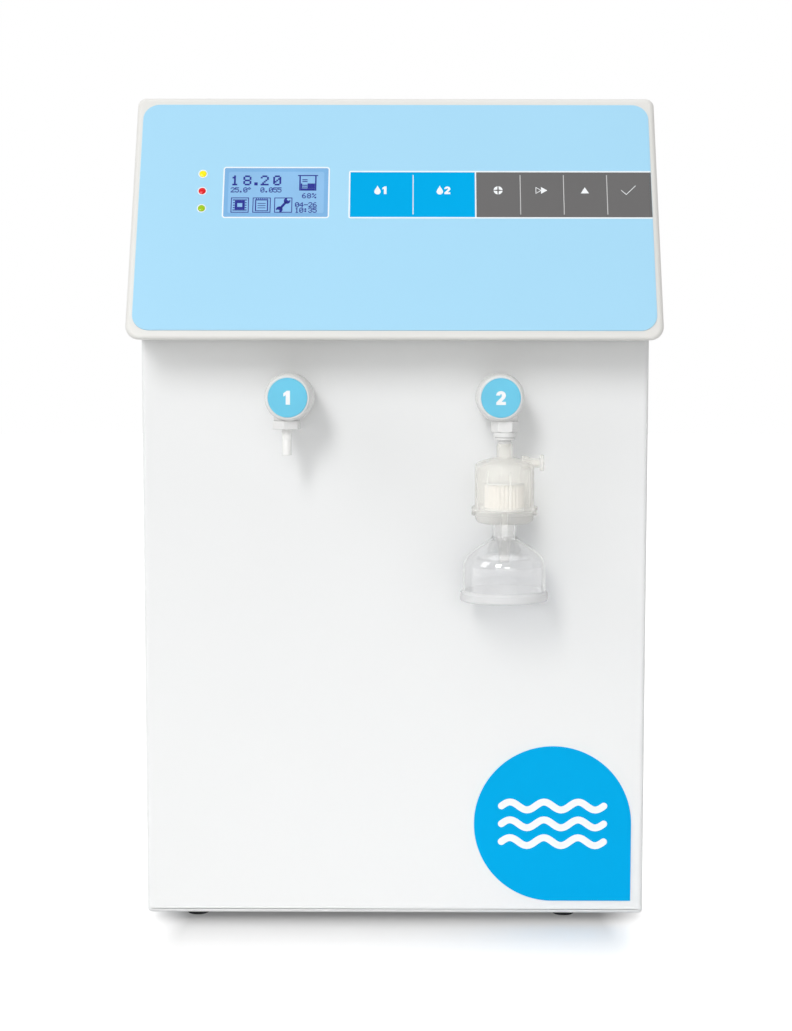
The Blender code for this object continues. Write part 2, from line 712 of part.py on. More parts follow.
def make_head_shell(frame):
    front = FRONT_Y - HEAD_OVERHANG
    outline = [
        (front, HEAD_LOW), (HEAD_BACK_Y, HEAD_LOW), (HEAD_BACK_Y, HEAD_TOP), (front + SLOPE_BACK, HEAD_TOP),
    ]
    bm = prism(outline, -HEAD_HALF, HEAD_HALF, "X")
    for level, radius in ((HEAD_LOW, HEAD_LOW_CORNER), (HEAD_TOP, HEAD_TOP_CORNER)):
        round_edges(bm, edges_along_y(bm, lambda end: abs(end.z - level) < GAP), radius, CORNER_STEPS)
    lean = SLOPE_BACK / HEAD_HEIGHT
    rim = edges_where(bm, lambda end: abs(end.y - front - (end.z - HEAD_LOW) * lean) < GAP)
    round_edges(bm, rim, HEAD_EDGE, EDGE_STEPS)
    shell = piece("head_shell", bm, "head_plastic", smooth=True)

    floor, roof = HEAD_LOW + HEAD_WALL, HEAD_TOP - HEAD_WALL
    cabinet_front = FRONT_Y - HEAD_FIT
    cavity = [
        (slope_inside_y(floor), floor), (cabinet_front, floor), (cabinet_front, HEAD_LOW - OVERRUN),
        (HEAD_BACK_Y + OVERRUN, HEAD_LOW - OVERRUN), (HEAD_BACK_Y + OVERRUN, roof),
        (slope_inside_y(roof), roof),
    ]
    inside = HALF_WIDTH + HEAD_FIT
    cut(shell, prism(cavity, -inside, inside, "X"), "cavity")
    cut(shell, prism(rounded_rectangle(*overlay_box(GAP), OVERLAY_CORNER + GAP),
                     RECESS_FLOOR, OVERRUN, "Z"), "overlay_recess", parent=frame)
    left, low, right, high = keypad_box(KEY_APERTURE_MARGIN)
    cut(shell, block((left, low, FACE_BACK - OVERRUN), (right, high, OVERRUN)), "key_aperture", parent=frame)
    left, low, right, high = window_box(-WINDOW_LEDGE)
    cut(shell, block((left, low, FACE_BACK - OVERRUN), (right, high, OVERRUN)), "display_aperture",
        parent=frame)
    for index, (x, y) in enumerate(lamp_places()):
        cut(shell, rod(LAMP_RADIUS + GAP, FACE_BACK - OVERRUN, OVERRUN), f"lamp_hole_{index}",
            at=(x, y, 0), parent=frame)
    bosses = [(place, control_board_front()) for place in corners_of(control_board_box(), BOSS_INSET)]
    left, low, _, high = keypad_box(KEYPAD_BOARD_MARGIN + KEY_APERTURE_MARGIN)
    ends = (left + BOSS_INSET, OVERLAY_HALF - OVERLAY_SIDE_MARGIN - BOSS_RADIUS)
    for x in ends:
        for y in (low, high):
            bosses.append(((x, y), keypad_board_front()))
    for index, ((x, y), back) in enumerate(bosses):
        join(shell, rod(BOSS_RADIUS, back + GAP, FACE_BACK + FACE_WALL / 2, BOSS_SIDES),
             f"boss_{index}", at=(x, y, 0), parent=frame)


def overlay_box(margin):
    half = OVERLAY_HALF + margin
    return (-half, OVERLAY_LOW_MARGIN - margin, half, SLOPE_LENGTH - OVERLAY_TOP_MARGIN + margin)


def key_places():
    """Name, left edge and pitch of each key."""
    places = [(name, DISPENSE_LEFT + index * DISPENSE_PITCH, DISPENSE_PITCH)
              for index, name in enumerate(DISPENSE_KEYS)]
    places += [(name, MENU_LEFT + index * MENU_PITCH, MENU_PITCH) for index, name in enumerate(MENU_KEYS)]
    return places


def make_overlay(frame):
    front = -OVERLAY_SINK
    film = piece(
        "membrane_overlay",
        prism(rounded_rectangle(*overlay_box(0), OVERLAY_CORNER), OVERLAY_BACK, front, "Z"),
        "overlay_film", parent=frame,
    )
    near, far = OVERLAY_BACK - OVERRUN, OVERRUN
    bars = ((DISPENSE_LEFT, MENU_LEFT - KEY_GROUP_GAP), (MENU_LEFT, MENU_RIGHT))
    for index, (left, right) in enumerate(bars):
        cut(film, block((left - GAP / 2, KEY_LOW - GAP, near),
                        (right + GAP / 2, KEY_LOW + KEY_HEIGHT + GAP, far)), f"key_opening_{index}")
    left, low, right, high = window_box(GAP)
    cut(film, block((left, low, near), (right, high, far)), "window_opening")
    for index, (x, y) in enumerate(lamp_places()):
        cut(film, rod(LAMP_RADIUS + GAP, near, far), f"lamp_hole_{index}", at=(x, y, 0))
    for step in film.modifiers:
        step.object.parent = frame


def make_keys(frame):
    for name, left, pitch in key_places():
        half_wide = (pitch - GAP) / 2
        half_tall = KEY_HEIGHT / 2
        colour = "dispense_key" if name in DISPENSE_KEYS else "menu_key"
        centre = (left + pitch / 2, KEY_LOW + half_tall, 0)
        plate = block((-half_wide, -half_tall, OVERLAY_BACK), (half_wide, half_tall, -OVERLAY_SINK))
        key = piece(name, plate, colour, at=centre, parent=frame)
        middle = OVERLAY_BACK + OVERLAY_THICKNESS / 2
        join(key, rod(KEY_POST_RADIUS, OVERLAY_BACK - KEY_POST_LENGTH, middle), "post",
             at=centre, parent=frame)


def make_display(frame):
    left, low, right, high = window_box(0)
    piece("display_window", block((left, low, OVERLAY_BACK), (right, high, -OVERLAY_SINK)),
          "display_glass", parent=frame)
    left, low, right, high = window_box(DISPLAY_BORDER)
    back = control_board_front() + GAP
    piece("display_module", block((left, low, back), (right, high, FACE_BACK - GAP)),
          "display_module", parent=frame)


def make_lamps(frame):
    for name, (x, y) in zip(LAMPS, lamp_places()):
        back = control_board_front() + GAP
        shoulder = back + LAMP_FLANGE
        front = -OVERLAY_SINK
        profile = [
            (0, back), (LAMP_RADIUS + LAMP_FLANGE, back), (LAMP_RADIUS + LAMP_FLANGE, shoulder),
            (LAMP_RADIUS, shoulder), (LAMP_RADIUS, front), (LAMP_RADIUS / 2, front + LAMP_DOME),
            (0, front + LAMP_DOME),
        ]
        piece(name, turned(profile, SMALL_SIDES), name, at=(x, y, 0), parent=frame, smooth=True)


def make_boards(frame):
    left, low, right, high = control_board_box()
    front = control_board_front()
    board = piece("control_board", block((left, low, front - BOARD), (right, high, front)),
                  "circuit_board", parent=frame)
    chips = bmesh.new()
    for share in CHIP_SHARES:
        x = left + (right - left) * share
        y = (low + high) / 2
        block((x - CHIP_SIZE / 2, y - CHIP_SIZE / 2, front - BOARD - CHIP_HEIGHT),
              (x + CHIP_SIZE / 2, y + CHIP_SIZE / 2, front - BOARD / 2), chips)
    join(board, chips, "chips", parent=frame)

    left, low, right, high = keypad_box(KEYPAD_BOARD_MARGIN)
    right = HALF_WIDTH - HEAD_FIT - BOARD
    front = keypad_board_front()
    board = piece("keypad_board", block((left, low, front - BOARD), (right, high, front)),
                  "circuit_board", parent=frame)
    switches = bmesh.new()
    for _, edge, pitch in key_places():
        x, y = edge + pitch / 2, KEY_LOW + KEY_HEIGHT / 2
        block((x - SWITCH_SIZE / 2, y - SWITCH_SIZE / 2, front - BOARD / 2),
              (x + SWITCH_SIZE / 2, y + SWITCH_SIZE / 2, front + SWITCH_HEIGHT), switches)
    join(board, switches, "switches", parent=frame)


# Taps

def make_tap(name, side, outlet_x):
    """Round housing on its stem, with the outlet boss below, the disc and the nut behind the panel."""
    x = side * TAP_X
    recess = TAP_FACE_REACH - DISC_RECESS
    round_start = TAP_FACE_REACH - TAP_ROUND
    profile = [
        (0, -TAP_STEM_LENGTH), (TAP_STEM_RADIUS, -TAP_STEM_LENGTH), (TAP_STEM_RADIUS, GAP),
        (TAP_RADIUS, GAP), (TAP_RADIUS, round_start),
        (TAP_RIM_RADIUS + (TAP_RADIUS - TAP_RIM_RADIUS) * TAP_ROUND_SHARES[0],
         TAP_FACE_REACH - TAP_ROUND * TAP_ROUND_SHARES[1]),
        (TAP_RIM_RADIUS, TAP_FACE_REACH), (DISC_RADIUS + GAP, TAP_FACE_REACH),
        (DISC_RADIUS + GAP, recess), (0, recess),
    ]
    facing = (math.radians(90), 0, 0)
    housing = piece(f"{name}_housing", turned(profile, ROUND_SIDES), "white_plastic",
                    at=(x, FRONT_Y, TAP_HEIGHT), turn=facing, smooth=True)
    join(housing, rod(OUTLET_BOSS_RADIUS, OUTLET_LOW, TAP_HEIGHT - TAP_RADIUS / 2, FINE_SIDES),
         "outlet_boss", at=(outlet_x, TAP_AXIS_Y, 0))
    piece(f"{name}_disc", rod(DISC_RADIUS, 0, DISC_THICKNESS, ROUND_SIDES), "tap_disc",
          at=(x, FRONT_Y - recess - GAP, TAP_HEIGHT), turn=facing, smooth=True)
    place = {"at": (x, FRONT_Y + PANEL_WALL + GAP, TAP_HEIGHT), "turn": (math.radians(-90), 0, 0)}
    nut = piece(f"{name}_panel_nut", prism(hexagon(PANEL_NUT_FLATS), 0, PANEL_NUT_HEIGHT, "Z"),
                "white_plastic", **place)
    cut(nut, rod(TAP_STEM_RADIUS + GAP, -OVERRUN, PANEL_NUT_HEIGHT + OVERRUN, FINE_SIDES), "bore", **place)


def hex_nut(name, x, top, height, bore, turn):
    nut = piece(name, prism(hexagon(NUT_FLATS), top - height, top, "Z"), "white_plastic",
                at=(x, TAP_AXIS_Y, 0), turn=(0, 0, turn))
    cut(nut, rod(bore, top - height - OVERRUN, top + OVERRUN, FINE_SIDES), "bore", at=nut.location)


def make_first_outlet():
    """Nut and open spout below the first tap."""
    top = OUTLET_LOW - GAP
    hex_nut("tap_1_nut", FIRST_OUTLET_X, top, SPOUT_NUT_HEIGHT, SPOUT_RADIUS + GAP, FIRST_NUT_TURN)
    step = -SPOUT_LENGTH * SPOUT_STEP_SHARE
    narrow = SPOUT_RADIUS - SPOUT_STEP
    profile = [
        (SPOUT_BORE, 0), (SPOUT_RADIUS, 0), (SPOUT_RADIUS, step), (narrow, step - SPOUT_STEP),
        (narrow, -SPOUT_LENGTH), (SPOUT_BORE, -SPOUT_LENGTH),
    ]
    piece("tap_1_spout", turned(profile, FINE_SIDES, ring=True), "tube_plastic",
          at=(FIRST_OUTLET_X, TAP_AXIS_Y, top), smooth=True)


def make_adapter():
    """Nut and adapter below the second tap; gives the height of the adapter's lower end."""
    top = OUTLET_LOW - GAP
    hex_nut("tap_2_nut", SECOND_OUTLET_X, top, ADAPTER_NUT_HEIGHT, ADAPTER_STEM_RADIUS + GAP, SECOND_NUT_TURN)
    collar_top = top - ADAPTER_NUT_HEIGHT - GAP
    collar_low = collar_top - COLLAR_HEIGHT
    groove = collar_top - COLLAR_HEIGHT / 2
    neck_low = collar_low - ADAPTER_NECK_HEIGHT
    low = neck_low - ADAPTER_LIP_HEIGHT
    profile = [
        (WATERWAY, top), (ADAPTER_STEM_RADIUS, top), (ADAPTER_STEM_RADIUS, collar_top),
        (COLLAR_RADIUS, collar_top), (COLLAR_RADIUS, groove + COLLAR_GROOVE),
        (COLLAR_RADIUS - COLLAR_GROOVE, groove), (COLLAR_RADIUS, groove - COLLAR_GROOVE),
        (COLLAR_RADIUS, collar_low), (ADAPTER_NECK_RADIUS, collar_low), (ADAPTER_NECK_RADIUS, neck_low),
        (ADAPTER_LIP_RADIUS, neck_low), (ADAPTER_LIP_RADIUS, low), (WATERWAY, low),
    ]
    piece("tap_2_adapter", turned(profile, ROUND_SIDES, ring=True), "white_plastic",
          at=(SECOND_OUTLET_X, TAP_AXIS_Y, 0), smooth=True)
    return low


# Filter capsule and bell

def shoulder(shares, low, high, narrow, wide):
    """Points of a shoulder from its narrow top down to its wide foot."""
    return [(narrow + (wide - narrow) * out, high - (high - low) * drop) for drop, out in shares]


def make_filter_shell(top):
    """Milky upper shell with its side vent; gives the height of its lower face."""
    axis = (SECOND_OUTLET_X, TAP_AXIS_Y, 0)
    stem_low = top - FILTER_STEM_HEIGHT
    shoulder_low = stem_low - FILTER_SHOULDER
    flange_top = shoulder_low - FILTER_BODY
    flange_low = flange_top - FILTER_FLANGE
    bore = FILTER_STEM_RADIUS - FILTER_WALL
    inside = FILTER_RADIUS - FILTER_WALL
    rounded = arc((FILTER_STEM_RADIUS - FILTER_STEM_ROUND, top - FILTER_STEM_ROUND),
                  FILTER_STEM_ROUND, 90, 0, EDGE_STEPS - 1)
    inner = shoulder(FILTER_SHOULDER_SHARES, shoulder_low - FILTER_WALL, stem_low - FILTER_WALL, bore, inside)
    profile = [
        (bore, top), *rounded,
        *shoulder(FILTER_SHOULDER_SHARES, shoulder_low, stem_low, FILTER_STEM_RADIUS, FILTER_RADIUS),
        (FILTER_RADIUS, flange_top), (FILTER_FLANGE_RADIUS, flange_top), (FILTER_FLANGE_RADIUS, flange_low),
        (inside, flange_low), *reversed(inner),
    ]
    shell = piece("filter_shell", turned(profile, ROUND_SIDES, ring=True), "filter_plastic",
                  at=axis, smooth=True)
    sideways = {"at": (SECOND_OUTLET_X, TAP_AXIS_Y, stem_low - VENT_DROP), "turn": (0, math.radians(90), 0)}
    boss = [(0, VENT_BOSS_START), (VENT_BOSS_RADIUS, VENT_BOSS_START), (VENT_NECK_RADIUS, VENT_BOSS_END),
            (VENT_NECK_RADIUS, VENT_NECK_END), (0, VENT_NECK_END)]
    join(shell, turned(boss, FINE_SIDES), "vent_boss", **sideways)
    cut(shell, rod(VENT_STEM_RADIUS + GAP, VENT_BOSS_START - OVERRUN, VENT_NECK_END + OVERRUN),
        "vent_bore", **sideways)
    knob_low = VENT_NECK_END + GAP
    knob_high = knob_low + VENT_KNOB_THICKNESS
    stem = knob_low - VENT_STEM_LENGTH
    knob = [(0, stem), (VENT_STEM_RADIUS, stem), (VENT_STEM_RADIUS, knob_low), (VENT_KNOB_RADIUS, knob_low),
            (VENT_KNOB_RADIUS, knob_high), (0, knob_high)]
    piece("vent_valve", turned(knob, FINE_SIDES), "filter_plastic", smooth=True, **sideways)
    return flange_low


def make_filter_base(base_top):
    """Lower bowl with its outlet nozzle, and the pleated core on it; gives the bowl's lowest height."""
    axis = (SECOND_OUTLET_X, TAP_AXIS_Y, 0)
    rim_low = base_top - FILTER_FLANGE
    bowl_low = rim_low - BOWL_DEPTH
    stem_end = bowl_low - OUTLET_STEM_HEIGHT
    tip = stem_end - NOZZLE_LENGTH
    step = OUTLET_STEM_RADIUS - NOZZLE_RADIUS
    profile = [
        (WATERWAY, base_top), (FILTER_FLANGE_RADIUS, base_top), (FILTER_FLANGE_RADIUS, rim_low),
        (FILTER_RADIUS, rim_low),
        *arc((FILTER_RADIUS - BOWL_ROUND, bowl_low + BOWL_ROUND), BOWL_ROUND, 0, -90, EDGE_STEPS),
        (OUTLET_STEM_RADIUS, bowl_low), (OUTLET_STEM_RADIUS, stem_end), (NOZZLE_RADIUS, stem_end - step),
        (NOZZLE_TIP_RADIUS, tip), (WATERWAY, tip),
    ]
    piece("filter_base", turned(profile, ROUND_SIDES, ring=True), "filter_plastic", at=axis, smooth=True)

    star = []
    for step in range(2 * CORE_PLEATS):
        turn = math.pi * step / CORE_PLEATS
        radius = CORE_RADIUS - CORE_PLEAT * (step % 2)
        star.append((radius * math.cos(turn), radius * math.sin(turn)))
    core_low = base_top + GAP
    piece("filter_core", prism(star, core_low, core_low + CORE_HEIGHT, "Z"), "filter_media", at=axis)
    return bowl_low


def make_bell(top):
    """Open bell whose neck slides over the filter's outlet stem."""
    narrow = OUTLET_STEM_RADIUS + GAP
    neck = narrow + BELL_WALL
    neck_low = -BELL_NECK_HEIGHT
    skirt_top = neck_low - BELL_SHOULDER
    rim_top = skirt_top - BELL_SKIRT
    low = rim_top - BELL_RIM_HEIGHT
    inside = BELL_RADIUS - BELL_WALL
    rim = arc((BELL_RIM_RADIUS - BELL_RIM_ROUND, low + BELL_RIM_ROUND), BELL_RIM_ROUND, 0, -90, EDGE_STEPS)
    inner = shoulder(BELL_SHOULDER_SHARES, skirt_top, neck_low - BELL_WALL, narrow, inside)
    profile = [
        (narrow, 0), (neck, 0), *shoulder(BELL_SHOULDER_SHARES, skirt_top, neck_low, neck, BELL_RADIUS),
        (BELL_RADIUS, rim_top), (BELL_RIM_RADIUS, rim_top), *rim, (inside, low), *reversed(inner),
    ]
    piece("dispensing_bell", turned(profile, BELL_SIDES, ring=True), "clear_plastic",
          at=(SECOND_OUTLET_X, TAP_AXIS_Y, top), smooth=True)


def make_badge():
    """Round badge whose lower right corner is square."""
    turns = [BADGE_SWEEP * (1 - step / BADGE_STEPS) for step in range(BADGE_STEPS + 1)]
    outline = [(BADGE_RADIUS * math.cos(turn), BADGE_RADIUS * math.sin(turn)) for turn in turns]
    outline.append((BADGE_RADIUS, -BADGE_RADIUS))
    x = HALF_WIDTH - BADGE_RIGHT_MARGIN - BADGE_RADIUS
    z = FOOT_HEIGHT + BADGE_LOW_MARGIN + BADGE_RADIUS
    front = -GAP - BADGE_THICKNESS
    piece("front_badge", prism(outline, front, -GAP, "Y"), "badge_blue", at=(x, FRONT_Y, z))


# Rear fittings

def make_ports():
    for index, name in enumerate(PORTS):
        place = {"at": (PORT_FIRST_X + index * PORT_PITCH, REAR_Y, PORT_HEIGHT),
                 "turn": (math.radians(-90), 0, 0)}
        profile = [
            (0, -PORT_TAIL_LENGTH), (PORT_TAIL_RADIUS, -PORT_TAIL_LENGTH),
            (PORT_TAIL_RADIUS, PORT_HEX_THICKNESS), (PORT_RADIUS, PORT_HEX_THICKNESS),
            (PORT_RADIUS, PORT_REACH - PORT_COLLET_LENGTH),
            (PORT_COLLET_RADIUS, PORT_REACH - PORT_COLLET_LENGTH), (PORT_COLLET_RADIUS, PORT_REACH),
            (0, PORT_REACH),
        ]
        port = piece(name, turned(profile, FINE_SIDES), "white_plastic", smooth=True, **place)
        join(port, prism(hexagon(PORT_HEX_FLATS), GAP, PORT_HEX_THICKNESS, "Z"), "hexagon", **place)
        cut(port, rod(PORT_BORE, PORT_REACH - PORT_BORE_DEPTH, PORT_REACH + OVERRUN, FINE_SIDES),
            "bore", **place)


def make_power_inlet():
    """Mains socket with its rocker window, set in the rear panel."""
    outer = REAR_Y + GAP + INLET_FLANGE
    flange = prism(
        rounded_rectangle(-INLET_WIDTH / 2, -INLET_TALL / 2, INLET_WIDTH / 2, INLET_TALL / 2, INLET_CORNER),
        REAR_Y + GAP, outer, "Y",
    )
    centre = (INLET_X, 0, INLET_HEIGHT)
    inlet = piece("power_inlet", flange, "black_plastic", at=centre)
    body = block((-INLET_BODY_WIDTH / 2, REAR_Y - INLET_BODY_DEPTH, -INLET_BODY_TALL / 2),
                 (INLET_BODY_WIDTH / 2, outer - INLET_FLANGE / 2, INLET_BODY_TALL / 2))
    join(inlet, body, "body", at=centre)
    floor = outer - SOCKET_DEPTH
    socket = block((-SOCKET_WIDTH / 2, floor, -SOCKET_DROP - SOCKET_TALL / 2),
                   (SOCKET_WIDTH / 2, outer + OVERRUN, -SOCKET_DROP + SOCKET_TALL / 2))
    cut(inlet, socket, "socket", at=centre)
    pins = bmesh.new()
    for x, rise in ((-PIN_PITCH, 0), (0, EARTH_PIN_RISE), (PIN_PITCH, 0)):
        middle = -SOCKET_DROP + rise
        block((x - PIN_WIDTH / 2, floor - OVERRUN, middle - PIN_TALL / 2),
              (x + PIN_WIDTH / 2, floor + PIN_LENGTH, middle + PIN_TALL / 2), pins)
    join(inlet, pins, "pins", at=centre)
    half_wide = ROCKER_WIDTH / 2 + GAP
    half_tall = ROCKER_HALF + ROCKER_SWEEP + GAP
    window = block((-half_wide, outer - ROCKER_WINDOW_DEPTH, ROCKER_RISE - half_tall),
                   (half_wide, outer + OVERRUN, ROCKER_RISE + half_tall))
    cut(inlet, window, "rocker_window", at=centre)

    belly, shoulder_z = ROCKER_BELLY * ROCKER_SHOULDER_SHARES[0], ROCKER_HALF * ROCKER_SHOULDER_SHARES[1]
    outline = [
        (ROCKER_RIM, -ROCKER_HALF), (ROCKER_MIDDLE, 0), (ROCKER_RIM, ROCKER_HALF),
        (-belly, shoulder_z), (-ROCKER_BELLY, 0), (-belly, -shoulder_z),
    ]
    piece("power_rocker", prism(outline, -ROCKER_WIDTH / 2, ROCKER_WIDTH / 2, "X"), "black_plastic",
          at=(INLET_X, outer - ROCKER_SINK, INLET_HEIGHT + ROCKER_RISE), turn=(-ROCKER_TILT, 0, 0))


# Inside of the cabinet

def make_chassis_plate():
    low = TRAY_TOP + GAP
    outline = [
        (PLATE_Y, low), (PLATE_Y + PLATE_FOOT, low), (PLATE_Y + PLATE_FOOT, low + SHEET),
        (PLATE_Y + SHEET, low + SHEET), (PLATE_Y + SHEET, PLATE_TOP), (PLATE_Y, PLATE_TOP),
    ]
    piece("chassis_plate", prism(outline, -PLATE_HALF, PLATE_HALF, "X"), "zinc_steel")


def column_profile(top_radius, neck):
    height = COLUMN_LOW + COLUMN_HEIGHT
    return [
        (0, COLUMN_LOW), (COLUMN_RADIUS - COLUMN_CHAMFER, COLUMN_LOW),
        (COLUMN_RADIUS, COLUMN_LOW + COLUMN_CHAMFER), (COLUMN_RADIUS, height - neck),
        (top_radius, height - neck), (top_radius, height - COLUMN_CHAMFER), (COLUMN_NECK_RADIUS, height),
        (COLUMN_PORT_RADIUS, height), (COLUMN_PORT_RADIUS, COLUMN_TOP), (0, COLUMN_TOP),
    ]


def make_columns():
    """Five columns from left to right, and the rail that holds them to the chassis plate."""
    cap = COLUMN_RADIUS + COLUMN_CAP_PROUD
    slim = COLUMN_RADIUS - COLUMN_CHAMFER
    kinds = (
        ("sediment_filter", "canister_blue", cap, CANISTER_HEAD),
        ("polishing_column_1", "white_plastic", slim, POLISHER_CAP),
        ("ro_membrane_housing", "white_plastic", cap, MEMBRANE_CAP),
        ("polishing_column_2", "white_plastic", slim, POLISHER_CAP),
        ("carbon_filter", "canister_blue", cap, CANISTER_HEAD),
    )
    rail = piece(
        "clip_rail",
        block((-PLATE_HALF, COLUMN_Y - RAIL_GRIP, RAIL_LOW),
              (PLATE_HALF, PLATE_Y - GAP, RAIL_LOW + RAIL_HEIGHT)),
        "white_plastic",
    )
    for index, (name, finish_name, top_radius, neck) in enumerate(kinds):
        x = (index - (COLUMNS - 1) / 2) * COLUMN_PITCH
        piece(name, turned(column_profile(top_radius, neck), ROUND_SIDES), finish_name,
              at=(x, COLUMN_Y, 0), smooth=True)
        seat = rod(COLUMN_RADIUS + GAP, RAIL_LOW - OVERRUN, RAIL_LOW + RAIL_HEIGHT + OVERRUN, ROUND_SIDES)
        cut(rail, seat, f"{name}_seat", at=(x, COLUMN_Y, 0))


def make_pump():
    """Booster pump on the tray: head, shaft and motor in one line along X."""
    axis = {"at": (PUMP_X, PUMP_Y, TRAY_TOP + PUMP_AXIS_RISE), "turn": (0, math.radians(90), 0)}
    floor = TRAY_TOP + GAP
    head_profile = [
        (0, -PUMP_HEAD_LENGTH), (PUMP_HEAD_RADIUS - PUMP_EDGE, -PUMP_HEAD_LENGTH),
        (PUMP_HEAD_RADIUS, PUMP_EDGE - PUMP_HEAD_LENGTH), (PUMP_HEAD_RADIUS, -PUMP_EDGE),
        (PUMP_HEAD_RADIUS - PUMP_EDGE, 0), (0, 0),
    ]
    head = piece("pump_head", turned(head_profile, FINE_SIDES), "black_plastic", smooth=True, **axis)
    near, far = PUMP_Y - PUMP_FOOT_HALF, PUMP_Y + PUMP_FOOT_HALF
    top = TRAY_TOP + PUMP_AXIS_RISE - MOTOR_RADIUS / 2
    foot = block((PUMP_X - PUMP_HEAD_LENGTH + PUMP_EDGE, near, floor), (PUMP_X - PUMP_EDGE, far, top))
    join(head, foot, "foot")
    shaft = rod(SHAFT_RADIUS, GAP, SHAFT_LENGTH - GAP)
    piece("pump_shaft", shaft, "steel_shaft", smooth=True, **axis)
    start = SHAFT_LENGTH + MOTOR_BOSS_LENGTH
    end = start + MOTOR_LENGTH
    motor_profile = [
        (0, SHAFT_LENGTH), (MOTOR_BOSS_RADIUS, SHAFT_LENGTH), (MOTOR_BOSS_RADIUS, start),
        (MOTOR_RADIUS, start), (MOTOR_RADIUS, end - PUMP_EDGE), (MOTOR_RADIUS - PUMP_EDGE, end), (0, end),
    ]
    motor = piece("booster_motor", turned(motor_profile, ROUND_SIDES), "zinc_steel", smooth=True, **axis)
    foot = block((PUMP_X + start + PUMP_EDGE, near, floor), (PUMP_X + end - 2 * PUMP_EDGE, far, top))
    join(motor, foot, "foot")


def make_supply_and_valve():
    """Power supply and inlet valve on the rear of the chassis plate."""
    near = PLATE_Y + SHEET + GAP
    supply = piece(
        "power_supply",
        block((SUPPLY_LEFT, near, SUPPLY_LOW),
              (SUPPLY_LEFT + SUPPLY_WIDTH, near + SUPPLY_DEPTH, SUPPLY_LOW + SUPPLY_HEIGHT)),
        "zinc_steel",
    )
    terminals = block((SUPPLY_LEFT + TERMINAL_INSET, near, SUPPLY_LOW - TERMINAL_HEIGHT),
                      (SUPPLY_LEFT + SUPPLY_WIDTH - TERMINAL_INSET, near + TERMINAL_DEPTH,
                       SUPPLY_LOW + OVERRUN))
    join(supply, terminals, "terminals")
    middle = near + VALVE_DEPTH / 2
    valve = piece(
        "inlet_valve",
        block((VALVE_X - VALVE_WIDTH / 2, near, VALVE_LOW),
              (VALVE_X + VALVE_WIDTH / 2, near + VALVE_DEPTH, VALVE_LOW + VALVE_HEIGHT)),
        "white_plastic",
    )
    coil = rod(COIL_RADIUS, VALVE_LOW + VALVE_HEIGHT - OVERRUN, VALVE_LOW + VALVE_HEIGHT + COIL_HEIGHT,
               ROUND_SIDES)
    join(valve, coil, "coil", at=(VALVE_X, middle, 0))


def smooth_route(points, steps):
    """Evenly spread points on a Catmull-Rom curve through the route's own points."""
    route = [Vector(point) for point in points]
    ends = [2 * route[0] - route[1], *route, 2 * route[-1] - route[-2]]
    spans = len(route) - 1
    curve = []
    for step in range(steps + 1):
        place = spans * step / steps
        span = min(int(place), spans - 1)
        t = place - span
        a, b, c, d = ends[span:span + 4]
        curve.append(0.5 * (2 * b + (c - a) * t + (2 * a - 5 * b + 4 * c - d) * t ** 2
                            + (3 * b - a - 3 * c + d) * t ** 3))
    return curve


def make_tube(name, points):
    """A tube along a list of points, closed at both ends."""
    curve = bpy.data.curves.new(name, "CURVE")
    curve.dimensions = "3D"
    curve.bevel_depth = TUBE_RADIUS
    curve.bevel_resolution = TUBE_RESOLUTION
    curve.render_resolution_u = 0
    curve.use_fill_caps = True
    line = curve.splines.new("POLY")
    line.points.add(len(points) - 1)
    for spot, point in zip(line.points, points):
        spot.co = (*point, 1.0)
    curve.materials.append(finish("tube_plastic"))
    bpy.context.collection.objects.link(bpy.data.objects.new(name, curve))


def make_tap_tubes():
    """Tube from the head of a polishing column to the stem of each tap, square to both at its ends."""
    start = FRONT_Y + TAP_STEM_LENGTH + GAP
    span = COLUMN_Y - start
    crown = COLUMN_TOP + span * TUBE_CROWN_SHARE
    for name, side in (("tap_1_tube", -1), ("tap_2_tube", 1)):
        tap_x, column_x = side * TAP_X, side * COLUMN_PITCH
        route = [
            (tap_x, start + TUBE_LEAD, TAP_HEIGHT), (tap_x, start + 2 * TUBE_LEAD, TAP_HEIGHT),
            (tap_x, start + span * TUBE_CLIMB_SHARE, (TAP_HEIGHT + crown) / 2),
            (column_x, start + span * TUBE_BEND_SHARE, crown),
            (column_x, COLUMN_Y, (COLUMN_TOP + crown) / 2), (column_x, COLUMN_Y, COLUMN_TOP + TUBE_LEAD),
        ]
        ends = (tap_x, start, TAP_HEIGHT), (column_x, COLUMN_Y, COLUMN_TOP + GAP)
        make_tube(name, [ends[0], *smooth_route(route, TUBE_STEPS), ends[1]])


def build():
    clear_scene()
    make_base()
    make_front_panel()
    make_side_panels()
    make_top_cover()
    make_rear_panel()
    frame = make_face_frame()
    make_head_shell(frame)
    make_overlay(frame)
    make_keys(frame)
    make_display(frame)
    make_lamps(frame)
    make_boards(frame)
    make_tap("tap_1", -1, FIRST_OUTLET_X)
    make_tap("tap_2", 1, SECOND_OUTLET_X)
    make_first_outlet()
    adapter_low = make_adapter()
    shell_low = make_filter_shell(adapter_low - GAP)
    bowl_low = make_filter_base(shell_low - GAP)
    make_bell(bowl_low - GAP)
    make_badge()
    make_ports()
    make_power_inlet()
    make_chassis_plate()
    make_columns()
    make_pump()
    make_supply_and_valve()
    make_tap_tubes()


build()
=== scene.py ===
"""Looks of a bench-top ultrapure water system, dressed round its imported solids.

Metres, +Z up, front towards -Y. A finished piece keeps its place in its mesh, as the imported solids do.
"""
import math

import bmesh
import bpy
from mathutils import Matrix, Vector
from mathutils.geometry import interpolate_bezier


